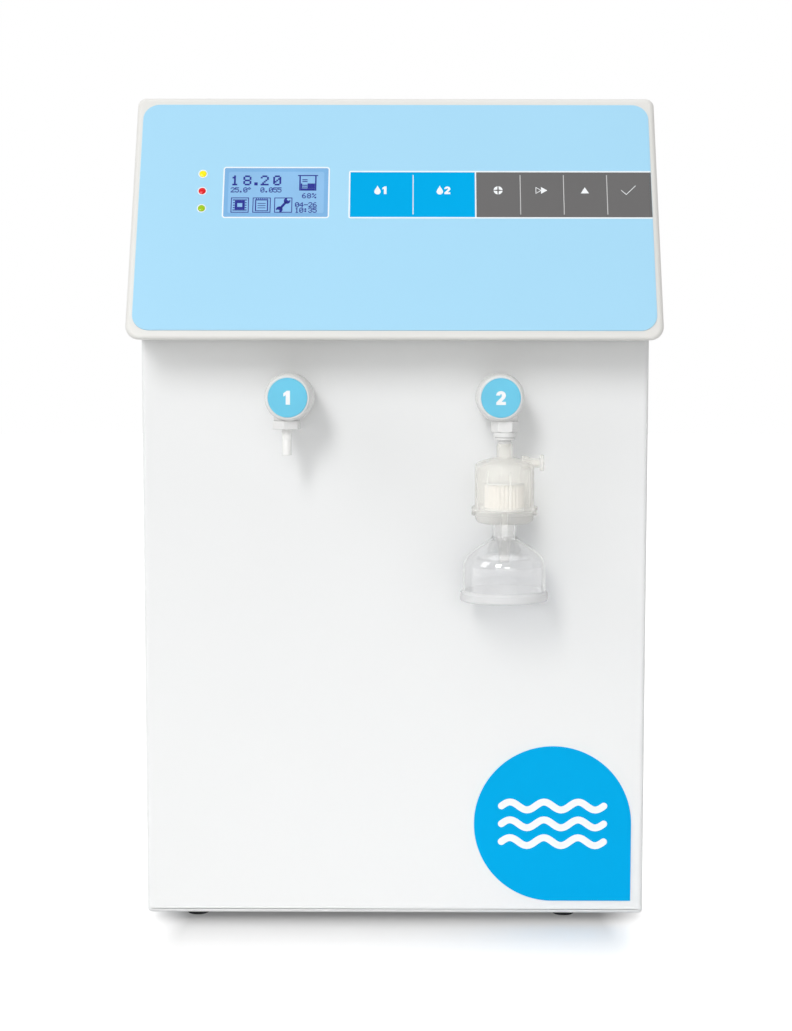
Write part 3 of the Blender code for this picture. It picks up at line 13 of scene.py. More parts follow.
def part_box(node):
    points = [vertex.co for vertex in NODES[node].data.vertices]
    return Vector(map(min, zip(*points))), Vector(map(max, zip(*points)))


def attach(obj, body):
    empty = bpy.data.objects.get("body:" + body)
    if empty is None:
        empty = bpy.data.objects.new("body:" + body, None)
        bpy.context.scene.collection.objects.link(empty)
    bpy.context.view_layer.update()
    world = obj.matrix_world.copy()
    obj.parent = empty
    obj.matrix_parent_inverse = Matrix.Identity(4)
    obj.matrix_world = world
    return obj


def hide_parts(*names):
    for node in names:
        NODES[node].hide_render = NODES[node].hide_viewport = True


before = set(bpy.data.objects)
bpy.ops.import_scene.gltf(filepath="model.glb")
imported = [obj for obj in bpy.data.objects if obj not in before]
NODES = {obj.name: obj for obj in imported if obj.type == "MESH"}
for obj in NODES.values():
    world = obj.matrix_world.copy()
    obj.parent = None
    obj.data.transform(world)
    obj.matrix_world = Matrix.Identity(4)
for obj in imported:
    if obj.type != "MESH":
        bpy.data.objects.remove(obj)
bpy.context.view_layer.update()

# Sizes that all pieces share; small drawings are in tenths of a millimetre
HAIR = 0.00002
SEAM = 0.00005
PRINT = 0.00006
OVERRUN = 0.002
MERGE_DISTANCE = 0.000002
TURNED_SIDES = 96
SMALL_SIDES = 32
ROUND_STEPS = 8
SHARP_ANGLE = 35
SOFT_ANGLE = 40
TENTH = 0.0001

# Camera, fitted to the photograph's frame
PHOTO_HEIGHT_PIXELS = 1031
FOCAL_PIXELS = 1841.18
AXIS_PIXEL_OFFSET = 14.37
SENSOR_MM = 36.0
CAMERA_PLACE = Vector((0.01599, -1.5334, 0.4206))
CAMERA_PITCH = 0.0847
CAMERA_YAW = -0.0035
CAMERA_ROLL = 0.0015

# The head's sloped face: its set-back from bottom to top, and its wall
SLOPE_BACK = 0.0792
HEAD_WALL = 0.003
HEAD_LOW_CORNER = 0.010
HEAD_TOP_CORNER = 0.006
HEAD_EDGE = 0.004
HEAD_BACK_EDGE = 0.0006
HEAD_SIDE_WALL = 0.0045
PANEL_GAP = 0.0005
FACE_WALL = 0.003
FILM_GAP = 0.0003
BOSS_RADIUS = 0.0028
BOSS_INSET = 0.0035

# Front panel
PANEL_WALL = 0.002
PANEL_CORNER = 0.003
PANEL_EDGE = 0.0035
STEM_HOLE = 0.0083

# Sheet-metal parts that keep their solid's form, with softened edges
SHEET_EDGE = 0.0004
SCREW_HEAD_RADIUS = 0.0033
SCREW_HEAD_RISE = 0.0013
SCREW_RIM = 0.0003
SCREW_SLOT = 0.0009
SCREW_INSET = 0.011

# Keys, lamps and prints on the film
FILM_CORNER = 0.012
FILM_EDGE = 0.00012
KEY_CORNER = 0.0014
KEY_STEM = 0.0025
FRAME_LINE = 0.0011
DIVIDER_WIDTH = 0.0007
DIVIDER_MARGIN = 0.0022
MARK_RISE = 0.0035
KEY_OPENING = 0.001
WINDOW_LEDGE = 0.003
HOUSING_LAMP_HOLE = 0.00285
FILM_LAMP_HOLE = 0.00265
LAMP_RING = (0.00268, 0.00335)

# Display
GLASS_CORNER = 0.0014
LIT_INSET = (0.0032, 0.0016)
FRAME_OUT = 0.0008
FRAME_IN = 0.0002
DOT_FILL = 1.16
BIG_DOT = 0.00113
SMALL_DOT = 0.00057

# Taps
TAP_ROUND = 0.017
TAP_FOOT = 0.0162
DISC_SHRINK = 0.0003
DISC_EDGE = 0.0004
NUMBER_HEIGHT = 0.0098
NUT_LIFT = 0.0015
NUT_CLOSE = 0.00022
NUT_EDGE = 0.0005

# Filter and bell
FILTER_RADIUS = 0.0211
RIBS = 8
RIB_WIDTH = 0.0007
RIB_DEPTH = 0.0003
RIB_TURN = math.radians(8)
PLEATS = 30
PLEAT_DEPTH = 0.0016
CORE_CAP = 0.0011
VENT_GRIPS = 14
VENT_GRIP_DEPTH = 0.00025

# Badge and rear
BADGE_EDGE = 0.00015
WAVES = 3
WAVE_HEIGHT = 0.0030
WAVE_WIDTH = 0.0052
PORT_FLATS = 0.017
ROCKER_EDGE = 0.0004

# Lamps: place, aim, width and height in metres, spread in degrees, power in watts
WORLD_LIGHT = 0.40
MIDDLE = (0.0, -0.19, 0.33)
LAMPS = (
    ("window_front", (-2.70, -8.00, 5.20), MIDDLE, (2.16, 3.96), 180, 327.0),
    ("window_side", (-3.12, -1.73, 2.36), MIDDLE, (1.44, 2.56), 180, 24.0),
    ("fill", (0.15, -2.60, 0.45), MIDDLE, (2.60, 0.85), 180, 5.8),
    ("ceiling", (0.0, 0.05, 3.20), MIDDLE, (3.00, 3.00), 180, 19.0),
    ("low_wash", (0.30, -3.00, 1.00), (0.0, -0.19, -0.05), (0.80, 0.40), 22, 0.21),
)

# The floor's own light for the eye: at the cabinet and away from it, and how far that is in front and beside
FLOOR_GLOW = (0.135, 0.88)
FLOOR_GLOW_REACH = 0.165
FLOOR_GLOW_START = (0.155, 0.190, 0.0)
FLOOR_GLOW_STRETCH = (4.0, 1.0, 0.0)

# The floor itself, and plain white
FLOOR_COLOUR = (0.670, 0.668, 0.667, 1)
WHITE = (1, 1, 1, 1)
FLOOR_RADIUS = 9.0
FLOOR_DEPTH = 0.02


# Frames of reference

def at(x, y, z=0.0):
    """Matrix that moves a part."""
    return Matrix.Translation((x, y, z))


def facing(place, direction):
    """Matrix that stands a part's Z on a place, along a direction."""
    return Matrix.Translation(place) @ Vector(direction).to_track_quat("Z", "Y").to_matrix().to_4x4()


HEAD_MIN, HEAD_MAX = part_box("head_shell")
SLOPE_TILT = math.atan2(SLOPE_BACK, HEAD_MAX.z - HEAD_MIN.z)
FACE = at(0, HEAD_MIN.y, HEAD_MIN.z) @ Matrix.Rotation(math.pi / 2 - SLOPE_TILT, 4, "X")


def face_box(node):
    """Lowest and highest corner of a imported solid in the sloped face's own frame."""
    inverse = FACE.inverted()
    spots = [inverse @ vertex.co for vertex in NODES[node].data.vertices]
    return [Vector([pick(spot[axis] for spot in spots) for axis in range(3)]) for pick in (min, max)]


def axis_of(low, high):
    """Matrix of the Z axis through the middle of a box."""
    return at((low.x + high.x) / 2, (low.y + high.y) / 2)


FILM_MIN, FILM_MAX = face_box("membrane_overlay")
FRONT_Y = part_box("front_panel")[0].y
UPRIGHT = Matrix.Rotation(math.pi / 2, 4, "X")


# Outlines and meshes

def arc(centre, radius, start, end, steps=ROUND_STEPS):
    """Points of an arc between two angles in degrees; a pair of radii makes it an ellipse."""
    wide, tall = radius if isinstance(radius, tuple) else (radius, radius)
    turns = [math.radians(start + (end - start) * step / steps) for step in range(steps + 1)]
    return [(centre[0] + wide * math.cos(turn), centre[1] + tall * math.sin(turn)) for turn in turns]


def circle(centre, radius, sides=SMALL_SIDES):
    return arc(centre, radius, 0, 360, sides)[:-1]


def rounded(left, low, right, high, radius, steps=ROUND_STEPS):
    """Rectangle with four round corners, counter-clockwise from its lower right."""
    return [
        *arc((right - radius, low + radius), radius, -90, 0, steps),
        *arc((right - radius, high - radius), radius, 0, 90, steps),
        *arc((left + radius, high - radius), radius, 90, 180, steps),
        *arc((left + radius, low + radius), radius, 180, 270, steps),
    ]


def rectangle(left, low, right, high):
    return [(left, low), (right, low), (right, high), (left, high)]


def sweep(start, pull, push, end, steps=ROUND_STEPS):
    """Points of a Bezier curve in the plane, its two ends included."""
    knots = [Vector((*point, 0.0)) for point in (start, pull, push, end)]
    return [(spot.x, spot.y) for spot in interpolate_bezier(*knots, steps + 1)]


def slab(outline, low, high, bm=None):
    """A flat outline with a thickness along Z, new or added to bm."""
    bm = bmesh.new() if bm is None else bm
    face = bm.faces.new([bm.verts.new((x, y, low)) for x, y in outline])
    grown = bmesh.ops.extrude_face_region(bm, geom=[face])["geom"]
    moved = [item for item in grown if isinstance(item, bmesh.types.BMVert)]
    bmesh.ops.translate(bm, verts=moved, vec=(0, 0, high - low))
    return bm


def band(outer, inner, low, high, bm=None):
    """A closed ring between two outlines of equally many points, new or added to bm."""
    bm = bmesh.new() if bm is None else bm
    rings = [[bm.verts.new((x, y, z)) for x, y in outline]
             for outline, z in ((outer, low), (outer, high), (inner, high), (inner, low))]
    for here, there in zip(rings, rings[1:] + rings[:1]):
        for index in range(len(here)):
            after = (index + 1) % len(here)
            bm.faces.new((here[index], here[after], there[after], there[index]))
    return bm


def printed(outline, level=0, bm=None):
    """A flat outline as thick as a print, new or added to bm."""
    return slab(outline, level, level + PRINT, bm)


def block(low, high):
    bm = bmesh.new()
    low, high = Vector(low), Vector(high)
    made = bmesh.ops.create_cube(bm, size=1.0)["verts"]
    bmesh.ops.scale(bm, verts=made, vec=high - low)
    bmesh.ops.translate(bm, verts=made, vec=(low + high) / 2)
    return bm


def prism_x(outline, low, high):
    """An outline of (y, z) points with a width along X."""
    bm = slab(outline, low, high)
    bm.transform(Matrix(((0, 0, 1, 0), (1, 0, 0, 0), (0, 1, 0, 0), (0, 0, 0, 1))))
    return bm


def turned(profile, sides=TURNED_SIDES, ring=False):
    """A profile of (radius, height) points spun about Z; a ring's profile closes on itself."""
    bm = bmesh.new()
    points = [bm.verts.new((radius, 0, height)) for radius, height in profile]
    pairs = list(zip(points, points[1:]))
    if ring:
        pairs.append((points[-1], points[0]))
    edges = [bm.edges.new(pair) for pair in pairs]
    bmesh.ops.spin(bm, geom=points + edges, axis=(0, 0, 1), cent=(0, 0, 0),
                   angle=math.tau, steps=sides, use_merge=True)
    bmesh.ops.remove_doubles(bm, verts=bm.verts, dist=MERGE_DISTANCE)
    bmesh.ops.recalc_face_normals(bm, faces=bm.faces)
    return bm


def rod(radius, low, high, sides=SMALL_SIDES):
    return turned([(0, low), (radius, low), (radius, high), (0, high)], sides)


def hexagon(flats, low, high, edge, steps):
    """A hexagonal block along Z with all its edges rounded."""
    corner = flats / math.sqrt(3)
    turns = [math.tau * (step + 0.5) / 6 for step in range(6)]
    bm = slab([(corner * math.sin(turn), corner * math.cos(turn)) for turn in turns], low, high)
    round_edges(bm, list(bm.edges), edge, steps)
    return bm


def edges_where(bm, test):
    """Edges whose two ends both pass the test."""
    return [edge for edge in bm.edges if all(test(end.co) for end in edge.verts)]


def edges_along_y(bm, test):
    return [edge for edge in edges_where(bm, test)
            if abs(edge.verts[0].co.x - edge.verts[1].co.x) < SEAM]


def round_edges(bm, edges, radius, steps):
    bmesh.ops.bevel(bm, geom=edges, offset=radius, offset_type="OFFSET", segments=steps,
                    profile=0.5, affect="EDGES")


def round_top(bm, level, radius, steps):
    """Rounds the edges at the top of a slab."""
    round_edges(bm, edges_where(bm, lambda end: end.z > level - HAIR), radius, steps)


def soften(bm, width):
    """Rounds every edge that is sharp to the touch."""
    sharp = [edge for edge in bm.edges
             if edge.is_manifold and edge.calc_face_angle(0) > math.radians(SOFT_ANGLE)]
    round_edges(bm, sharp, width, 2)
    return bm


def placed(bm, place):
    bm.transform(place)
    return bm


def outward(bm):
    """Turns every face of a closed shape outwards."""
    bmesh.ops.recalc_face_normals(bm, faces=bm.faces)
    if bm.calc_volume(signed=True) < 0:
        bmesh.ops.reverse_faces(bm, faces=bm.faces)
    return bm


def mesh_of(bm, name):
    mesh = bpy.data.meshes.new(name)
    bm.to_mesh(mesh)
    bm.free()
    return mesh


def stand(name, data):
    """A new object in the scene."""
    made = bpy.data.objects.new(name, data)
    bpy.context.scene.collection.objects.link(made)
    return made


def lone(bm, name):
    """An object of a closed shape, on its own."""
    return stand(name, mesh_of(outward(bm), name))


def made_plain(helper):
    """The evaluated mesh of a helper object, which is then removed."""
    graph = bpy.context.evaluated_depsgraph_get()
    mesh = bpy.data.meshes.new_from_object(helper.evaluated_get(graph))
    bpy.data.objects.remove(helper, do_unlink=True)
    return mesh


def carved(bm, cuts=(), joins=()):
    """A bmesh after shapes are cut out of it and others are joined on."""
    whole = lone(bm, "blank")
    helpers = []
    for operation, shapes in (("DIFFERENCE", cuts), ("UNION", joins)):
        for shape in shapes:
            helpers.append(lone(shape, "cutter"))
            step = whole.modifiers.new(operation, "BOOLEAN")
            step.operation = operation
            step.solver = "EXACT"
            step.object = helpers[-1]
    mesh = made_plain(whole)
    for helper in helpers:
        bpy.data.objects.remove(helper, do_unlink=True)
    result = bmesh.new()
    result.from_mesh(mesh)
    bpy.data.meshes.remove(mesh)
    return result


def copy_of(node):
    """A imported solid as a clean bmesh, its loose triangles merged and its flat faces whole."""
    bm = bmesh.new()
    bm.from_mesh(NODES[node].data)
    bmesh.ops.remove_doubles(bm, verts=bm.verts, dist=MERGE_DISTANCE)
    bmesh.ops.dissolve_limit(bm, angle_limit=math.radians(1), verts=bm.verts, edges=bm.edges)
    return bm


def numeral(sign, height):
    """A heavy plain 1 or 2 as a thin slab, centred on the origin and facing +Z."""
    if sign == "1":
        outline = [(-0.13, 0), (0.18, 0), (0.18, 1), (-0.05, 1), (-0.30, 0.81), (-0.30, 0.58), (-0.13, 0.68)]
    else:
        outline = [
            (-0.34, 0), (0.35, 0), (0.35, 0.23), (0.04, 0.23), (0.28, 0.48),
            *arc((0, 0.68), (0.35, 0.32), -22, 180, 20), (-0.06, 0.68),
            *arc((0, 0.69), (0.06, 0.09), 180, -10, 10), (0.03, 0.56), (-0.34, 0.19),
        ]
    return printed([(x * height, (y - 0.5) * height) for x, y in outline])


def added(bm, other):
    """Takes another bmesh into bm."""
    mesh = mesh_of(other, "part")
    bm.from_mesh(mesh)
    bpy.data.meshes.remove(mesh)
    return bm


# Finishes

def srgb(red, green, blue):
    """Linear colour of an sRGB one, each channel from 0 to 255."""
    return tuple(((share / 255 + 0.055) / 1.055) ** 2.4 for share in (red, green, blue))


def feed(tree, made, feeds):
    """Gives each named input of a node a value, or another node's output."""
    for key, value in feeds.items():
        if isinstance(value, bpy.types.NodeSocket):
            tree.links.new(value, made.inputs[key])
        else:
            made.inputs[key].default_value = value


def wired(tree, kind, feeds=None, **settings):
    """A new node with its settings made and its inputs fed."""
    made = tree.nodes.new(kind)
    for name, value in settings.items():
        setattr(made, name, value)
    if feeds:
        feed(tree, made, feeds)
    return made


def maths(tree, operation, *values):
    return wired(tree, "ShaderNodeMath", dict(enumerate(values)), operation=operation).outputs["Value"]


def noise(tree, where, scale, detail):
    made = wired(tree, "ShaderNodeTexNoise", {"Vector": where, "Scale": scale, "Detail": detail})
    return made.outputs["Fac"]


def spread(tree, value, low, high, start=0.3, end=0.7):
    """A value mapped to two limits, from the usual reach of a noise or from another one."""
    return wired(tree, "ShaderNodeMapRange", {
        "Value": value, "From Min": start, "From Max": end, "To Min": low, "To Max": high}).outputs["Result"]


def tinted(tree, value, *colours):
    """A noise value turned into a drift between two colours."""
    ramp = wired(tree, "ShaderNodeValToRGB", {"Fac": value})
    for element, place, colour in zip(ramp.color_ramp.elements, (0.32, 0.68), colours):
        element.position = place
        element.color = (*colour, 1)
    return ramp.outputs["Color"]


def let_lamps_through(tree, colour):
    """Lets light that falls on what is behind pass a clear or milky wall, tinted by a colour."""
    path = wired(tree, "ShaderNodeLightPath").outputs
    clear = wired(tree, "ShaderNodeBsdfTransparent", {"Color": (*colour, 1)})
    mix = wired(tree, "ShaderNodeMixShader", {
        "Fac": maths(tree, "MAXIMUM", path["Is Shadow Ray"], path["Is Diffuse Ray"]),
        1: tree.nodes["Principled BSDF"].outputs["BSDF"], 2: clear.outputs["BSDF"]})
    feed(tree, tree.nodes["Material Output"], {"Surface": mix.outputs["Shader"]})


def finish(name, slot, colour, roughness, grain, relief, drift, shift, sockets=None, tint=None, stretch=None):
    """A surface with grain in its relief and gloss, and a slow drift in its colour.

    Colour and tint are sRGB. Grain and drift are in cycles a metre, relief is in millionths of a metre, and
    shift is the drift's share of the colour. A wall with a tint lets the lamps through.
    """
    made = bpy.data.materials.new(name)
    made.use_nodes = True
    made["slot"] = slot
    tree = made.node_tree
    colour = srgb(*colour)
    where = wired(tree, "ShaderNodeTexCoord").outputs["Object"]
    if stretch:
        where = wired(tree, "ShaderNodeMapping", {"Vector": where, "Scale": stretch}).outputs["Vector"]
    fine = noise(tree, where, grain, 3)
    slow = noise(tree, where, drift, 2)
    darker = [share * (1 - shift) for share in colour]
    lighter = [min(1.0, share * (1 + shift)) for share in colour]
    bump = wired(tree, "ShaderNodeBump", {"Distance": relief * 1e-6, "Strength": 0.6, "Height": fine})
    feed(tree, tree.nodes["Principled BSDF"], {
        "Base Color": tinted(tree, slow, darker, lighter), "Normal": bump.outputs["Normal"],
        "Roughness": spread(tree, fine, roughness * 0.88, roughness * 1.12), **(sockets or {})})
    made.diffuse_color = (*colour, 1)
    if tint:
        let_lamps_through(tree, srgb(*tint))
    return made


def gloss(level):
    return {"Specular IOR Level": level}


def glowing(*colour):
    return {"Emission Color": (*colour, 1), "Emission Strength": 0.05, **gloss(0.3)}


def clear_wall(transmission, ior):
    return {"Transmission Weight": transmission, "IOR": ior}


DULL = gloss(0.2)
GLAZED = {"Coat Weight": 0.3, "Coat Roughness": 0.04, **gloss(0.3)}
LACQUERED = {"Coat Weight": 1.0, "Coat IOR": 1.8, "Coat Roughness": 0.03}
METAL = {"Metallic": 1.0}
MILKY, MILKY_TINT = (254, 253, 250), (250, 250, 249)
CLEAR = (252, 252, 252)
FINISHES = {row[0]: finish(*row) for row in (
    ("powder_coat", "painted_steel", (245, 246, 246), 0.50, 900, 30, 4, 0.006, gloss(0.03)),
    ("head_moulding", "head_plastic", (229, 228, 224), 0.34, 2600, 12, 6, 0.008),
    ("zinc_sheet", "zinc_steel", (196, 200, 204), 0.38, 260, 10, 30, 0.06, METAL),
    ("film", "overlay_film", (169, 220, 247), 0.34, 3200, 6, 7, 0.008, DULL),
    ("film_white", "overlay_film", (244, 250, 254), 0.36, 3200, 6, 7, 0.008, DULL),
    ("dispense_film", "dispense_key", (0, 173, 235), 0.33, 3200, 6, 12, 0.015, gloss(0.02)),
    ("menu_film", "menu_key", (106, 105, 105), 0.36, 3200, 6, 12, 0.02, DULL),
    ("key_print", "menu_key", (246, 249, 251), 0.36, 3200, 6, 12, 0.01, DULL),
    ("divider_print", "menu_key", (200, 200, 200), 0.36, 3200, 6, 12, 0.01, DULL),
    ("lcd_glass", "display_glass", (140, 192, 236), 0.16, 1800, 2, 26, 0.035, GLAZED),
    # darker blue of the display's rim band: painted shade round the window's edge
    ("lcd_edge", "display_glass", (124, 180, 228), 0.16, 1800, 2, 26, 0.03, GLAZED),
    ("lcd_ink", "display_module", (40, 48, 146), 0.30, 1800, 2, 60, 0.05, DULL),
    ("lens_yellow", "lamp_yellow", (255, 236, 0), 0.14, 900, 4, 200, 0.05, glowing(1.0, 0.80, 0.0)),
    ("lens_red", "lamp_red", (226, 0, 18), 0.14, 900, 4, 200, 0.05, glowing(0.8, 0.0, 0.005)),
    ("lens_green", "lamp_green", (160, 198, 0), 0.14, 900, 4, 200, 0.05, glowing(0.34, 0.56, 0.0)),
    ("solder_mask", "circuit_board", (24, 108, 60), 0.30, 420, 40, 160, 0.22),
    ("dark_module", "display_module", (46, 50, 62), 0.42, 1400, 20, 40, 0.06),
    ("white_moulding", "white_plastic", (234, 234, 233), 0.26, 2200, 6, 30, 0.012),
    ("tap_label", "tap_disc", (112, 205, 236), 0.28, 3000, 5, 40, 0.03, DULL),
    ("label_white", "tap_disc", (250, 252, 253), 0.30, 3000, 5, 40, 0.008, DULL),
    ("white_tube", "tube_plastic", (246, 246, 244), 0.26, 1500, 6, 60, 0.012),
    ("milky_plastic", "filter_plastic", MILKY, 0.18, 700, 1, 50, 0.002, clear_wall(0.76, 1.12), MILKY_TINT),
    ("milky_rib", "filter_plastic", MILKY, 0.24, 700, 1, 50, 0.002, clear_wall(0.50, 1.12), MILKY_TINT),
    ("pleated_sheet", "filter_media", (253, 249, 243), 0.75, 4200, 30, 90, 0.01, {"Sheen Weight": 0.2}),
    ("clear_moulding", "clear_plastic", CLEAR, 0.04, 400, 1, 30, 0.002,
     {**clear_wall(0.91, 1.16), **LACQUERED}, (226, 227, 229)),
    ("frosted_moulding", "clear_plastic", CLEAR, 0.22, 700, 1, 50, 0.004, clear_wall(0.60, 1.20),
     (214, 215, 216)),
    ("badge_film", "badge_blue", (0, 174, 236), 0.32, 3000, 6, 12, 0.012, gloss(0.03)),
    ("badge_white", "badge_blue", (250, 252, 253), 0.34, 3000, 6, 12, 0.008, DULL),
    ("foot_rubber", "rubber", (44, 44, 47), 0.70, 700, 80, 60, 0.12),
    ("black_moulding", "black_plastic", (38, 38, 40), 0.42, 1600, 20, 40, 0.10),
    ("mark_white", "black_plastic", (236, 236, 236), 0.40, 2000, 10, 40, 0.02),
    ("canister", "canister_blue", (84, 122, 186), 0.34, 1200, 20, 20, 0.06),
    ("ground_steel", "steel_shaft", (206, 207, 210), 0.22, 900, 10, 60, 0.05, METAL, None, (1, 12, 12)),
    ("grey_moulding", "white_plastic", (150, 154, 158), 0.34, 1800, 10, 40, 0.04),
)}
LAMP_LENSES = {"lamp_yellow": "lens_yellow", "lamp_red": "lens_red", "lamp_green": "lens_green"}


# Pieces: riding on their body and standing for their solids

def settle(name, mesh, coat, node=None, body="cabinet"):
    """A finished piece from a mesh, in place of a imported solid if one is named."""
    material = FINISHES[coat]
    mesh.shade_smooth()
    mesh.set_sharp_from_angle(angle=math.radians(SHARP_ANGLE))
    mesh.materials.clear()
    mesh.materials.append(material)
    made = stand(name, mesh)
    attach(made, body)
    if node:
        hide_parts(node)
    made.modifiers.new("even_shading", "WEIGHTED_NORMAL").keep_sharp = True


def piece(name, bm, coat, node=None, place=None, body="cabinet"):
    """A finished piece from a bmesh, its place taken into its mesh."""
    if place is not None:
        bm.transform(place)
    settle(name, mesh_of(outward(bm), name), coat, node, body)


# Geometry node trees

def tree_with(name, inputs):
    """A node tree with named inputs and one geometry output: the tree, its inputs and its end node."""
    tree = bpy.data.node_groups.new(name, "GeometryNodeTree")
    for label, kind in inputs:
        tree.interface.new_socket(label, in_out="INPUT", socket_type=f"NodeSocket{kind}")
    tree.interface.new_socket("Geometry", in_out="OUTPUT", socket_type="NodeSocketGeometry")
    return tree, tree.nodes.new("NodeGroupInput").outputs, tree.nodes.new("NodeGroupOutput")


def end_tree(tree, geometry, material, end):
    """The last steps of every tree: real geometry with its finish."""
    real = wired(tree, "GeometryNodeRealizeInstances", {"Geometry": geometry})
    coat = wired(tree, "GeometryNodeSetMaterial", {
        "Geometry": real.outputs["Geometry"], "Material": material})
    feed(tree, end, {"Geometry": coat.outputs["Geometry"]})


def grown(mesh, tree, **values):
    """The mesh that a tree makes, its inputs set by the identifier of the socket that has each name."""
    helper = stand(mesh.name, mesh)
    modifier = helper.modifiers.new("grow", "NODES")
    modifier.node_group = tree
    for item in tree.interface.items_tree:
        if item.item_type == "SOCKET" and item.in_out == "INPUT" and item.name in values:
            modifier[item.identifier] = values[item.name]
    return made_plain(helper)


def make_repeat_tree():
    """Sets one part on every point, turned by the points' own attribute."""
    tree, start, end = tree_with("repeat_part", (
        ("Points", "Geometry"), ("Part", "Object"), ("Finish", "Material")))
    part = wired(tree, "GeometryNodeObjectInfo", {"Object": start["Part"]})
    turn = wired(tree, "GeometryNodeInputNamedAttribute", {"Name": "turn"}, data_type="FLOAT_VECTOR")
    copies = wired(tree, "GeometryNodeInstanceOnPoints", {
        "Points": start["Points"], "Instance": part.outputs["Geometry"],
        "Rotation": turn.outputs["Attribute"]})
    end_tree(tree, copies.outputs["Instances"], start["Finish"], end)
    return tree


def make_pleat_tree():
    """A closed drum whose side runs in even pleats round the axis."""
    tree, start, end = tree_with("pleated_drum", (
        ("Pleats", "Int"), ("Steps", "Int"), ("Radius", "Float"), ("Depth", "Float"), ("Height", "Float"),
        ("Finish", "Material")))
    corners = maths(tree, "MULTIPLY", start["Pleats"], start["Steps"])
    ring = wired(tree, "GeometryNodeMeshCircle", {"Vertices": corners, "Radius": start["Radius"]},
                 fill_type="NGON")
    where = wired(tree, "GeometryNodeInputPosition").outputs["Position"]
    apart = wired(tree, "ShaderNodeSeparateXYZ", {"Vector": where}).outputs
    around = maths(tree, "ARCTAN2", apart["Y"], apart["X"])
    wave = maths(tree, "COSINE", maths(tree, "MULTIPLY", around, start["Pleats"]))
    inward = maths(tree, "MULTIPLY", maths(tree, "SUBTRACT", wave, 1.0),
                   maths(tree, "MULTIPLY", start["Depth"], 0.5))
    share = maths(tree, "DIVIDE", inward, start["Radius"])
    pull = wired(tree, "ShaderNodeVectorMath", {0: where, "Scale": share}, operation="SCALE")
    pleated = wired(tree, "GeometryNodeSetPosition", {
        "Geometry": ring.outputs["Mesh"], "Offset": pull.outputs["Vector"]}).outputs["Geometry"]
    rise = wired(tree, "GeometryNodeExtrudeMesh", {
        "Mesh": pleated, "Individual": False, "Offset Scale": start["Height"]})
    bottom = wired(tree, "GeometryNodeFlipFaces", {"Mesh": pleated})
    both = wired(tree, "GeometryNodeJoinGeometry", {"Geometry": rise.outputs["Mesh"]})
    feed(tree, both, {"Geometry": bottom.outputs["Mesh"]})
    closed = wired(tree, "GeometryNodeMergeByDistance", {
        "Geometry": both.outputs["Geometry"], "Distance": MERGE_DISTANCE})
    end_tree(tree, closed.outputs["Geometry"], start["Finish"], end)
    return tree


REPEAT = make_repeat_tree()
PLEATED = make_pleat_tree()


def repeated(name, part, places, coat):
    """One part, a bmesh, at every matrix in places, as a single piece."""
    template = lone(part, "template")
    points = bpy.data.meshes.new(name)
    points.from_pydata([place.translation for place in places], [], [])
    turns = points.attributes.new("turn", "FLOAT_VECTOR", "POINT")
    turns.data.foreach_set("vector", [angle for place in places for angle in place.to_euler()])
    result = grown(points, REPEAT, Part=template, Finish=FINISHES[coat])
    bpy.data.objects.remove(template, do_unlink=True)
    for spare in [item.name for item in result.attributes if item.name == "turn"]:
        result.attributes.remove(result.attributes[spare])
    settle(name, result, coat)


# Stage, camera and lamps

def make_camera():
    data = bpy.data.cameras.new("camera")
    data.sensor_width = SENSOR_MM
    data.lens = SENSOR_MM * FOCAL_PIXELS / PHOTO_HEIGHT_PIXELS
    data.shift_x = -AXIS_PIXEL_OFFSET / PHOTO_HEIGHT_PIXELS
    data.clip_start, data.clip_end = 0.05, 50.0
    ahead = Vector((math.sin(CAMERA_YAW) * math.cos(CAMERA_PITCH),
                    math.cos(CAMERA_YAW) * math.cos(CAMERA_PITCH), -math.sin(CAMERA_PITCH)))
    right = Vector((math.cos(CAMERA_YAW), -math.sin(CAMERA_YAW), 0))
    up = right.cross(ahead)
    cos, sin = math.cos(CAMERA_ROLL), math.sin(CAMERA_ROLL)
    across = right * cos + up * sin
    above = up * cos - right * sin
    turn = Matrix((across, above, -ahead)).transposed()
    camera = stand("camera", data)
    camera.matrix_world = Matrix.Translation(CAMERA_PLACE) @ turn.to_4x4()
    bpy.context.scene.camera = camera


def seen_share(tree, low, high):
    """Low for light that falls on things, high for what the eye sees, also in gloss and through glass."""
    path = wired(tree, "ShaderNodeLightPath").outputs
    eye = maths(tree, "MAXIMUM", path["Is Camera Ray"], path["Is Glossy Ray"])
    eye = maths(tree, "MAXIMUM", eye, path["Is Transmission Ray"])
    direct = maths(tree, "LESS_THAN", path["Diffuse Depth"], 0.5)
    return spread(tree, maths(tree, "MULTIPLY", eye, direct), low, high, 0.0, 1.0)


def make_world():
    bpy.context.scene.view_settings.view_transform = "Standard"
    world = bpy.data.worlds.new("studio")
    bpy.context.scene.world = world
    world.use_nodes = True
    tree = world.node_tree
    feed(tree, tree.nodes["Background"], {
        "Color": WHITE, "Strength": seen_share(tree, WORLD_LIGHT, 1.0)})


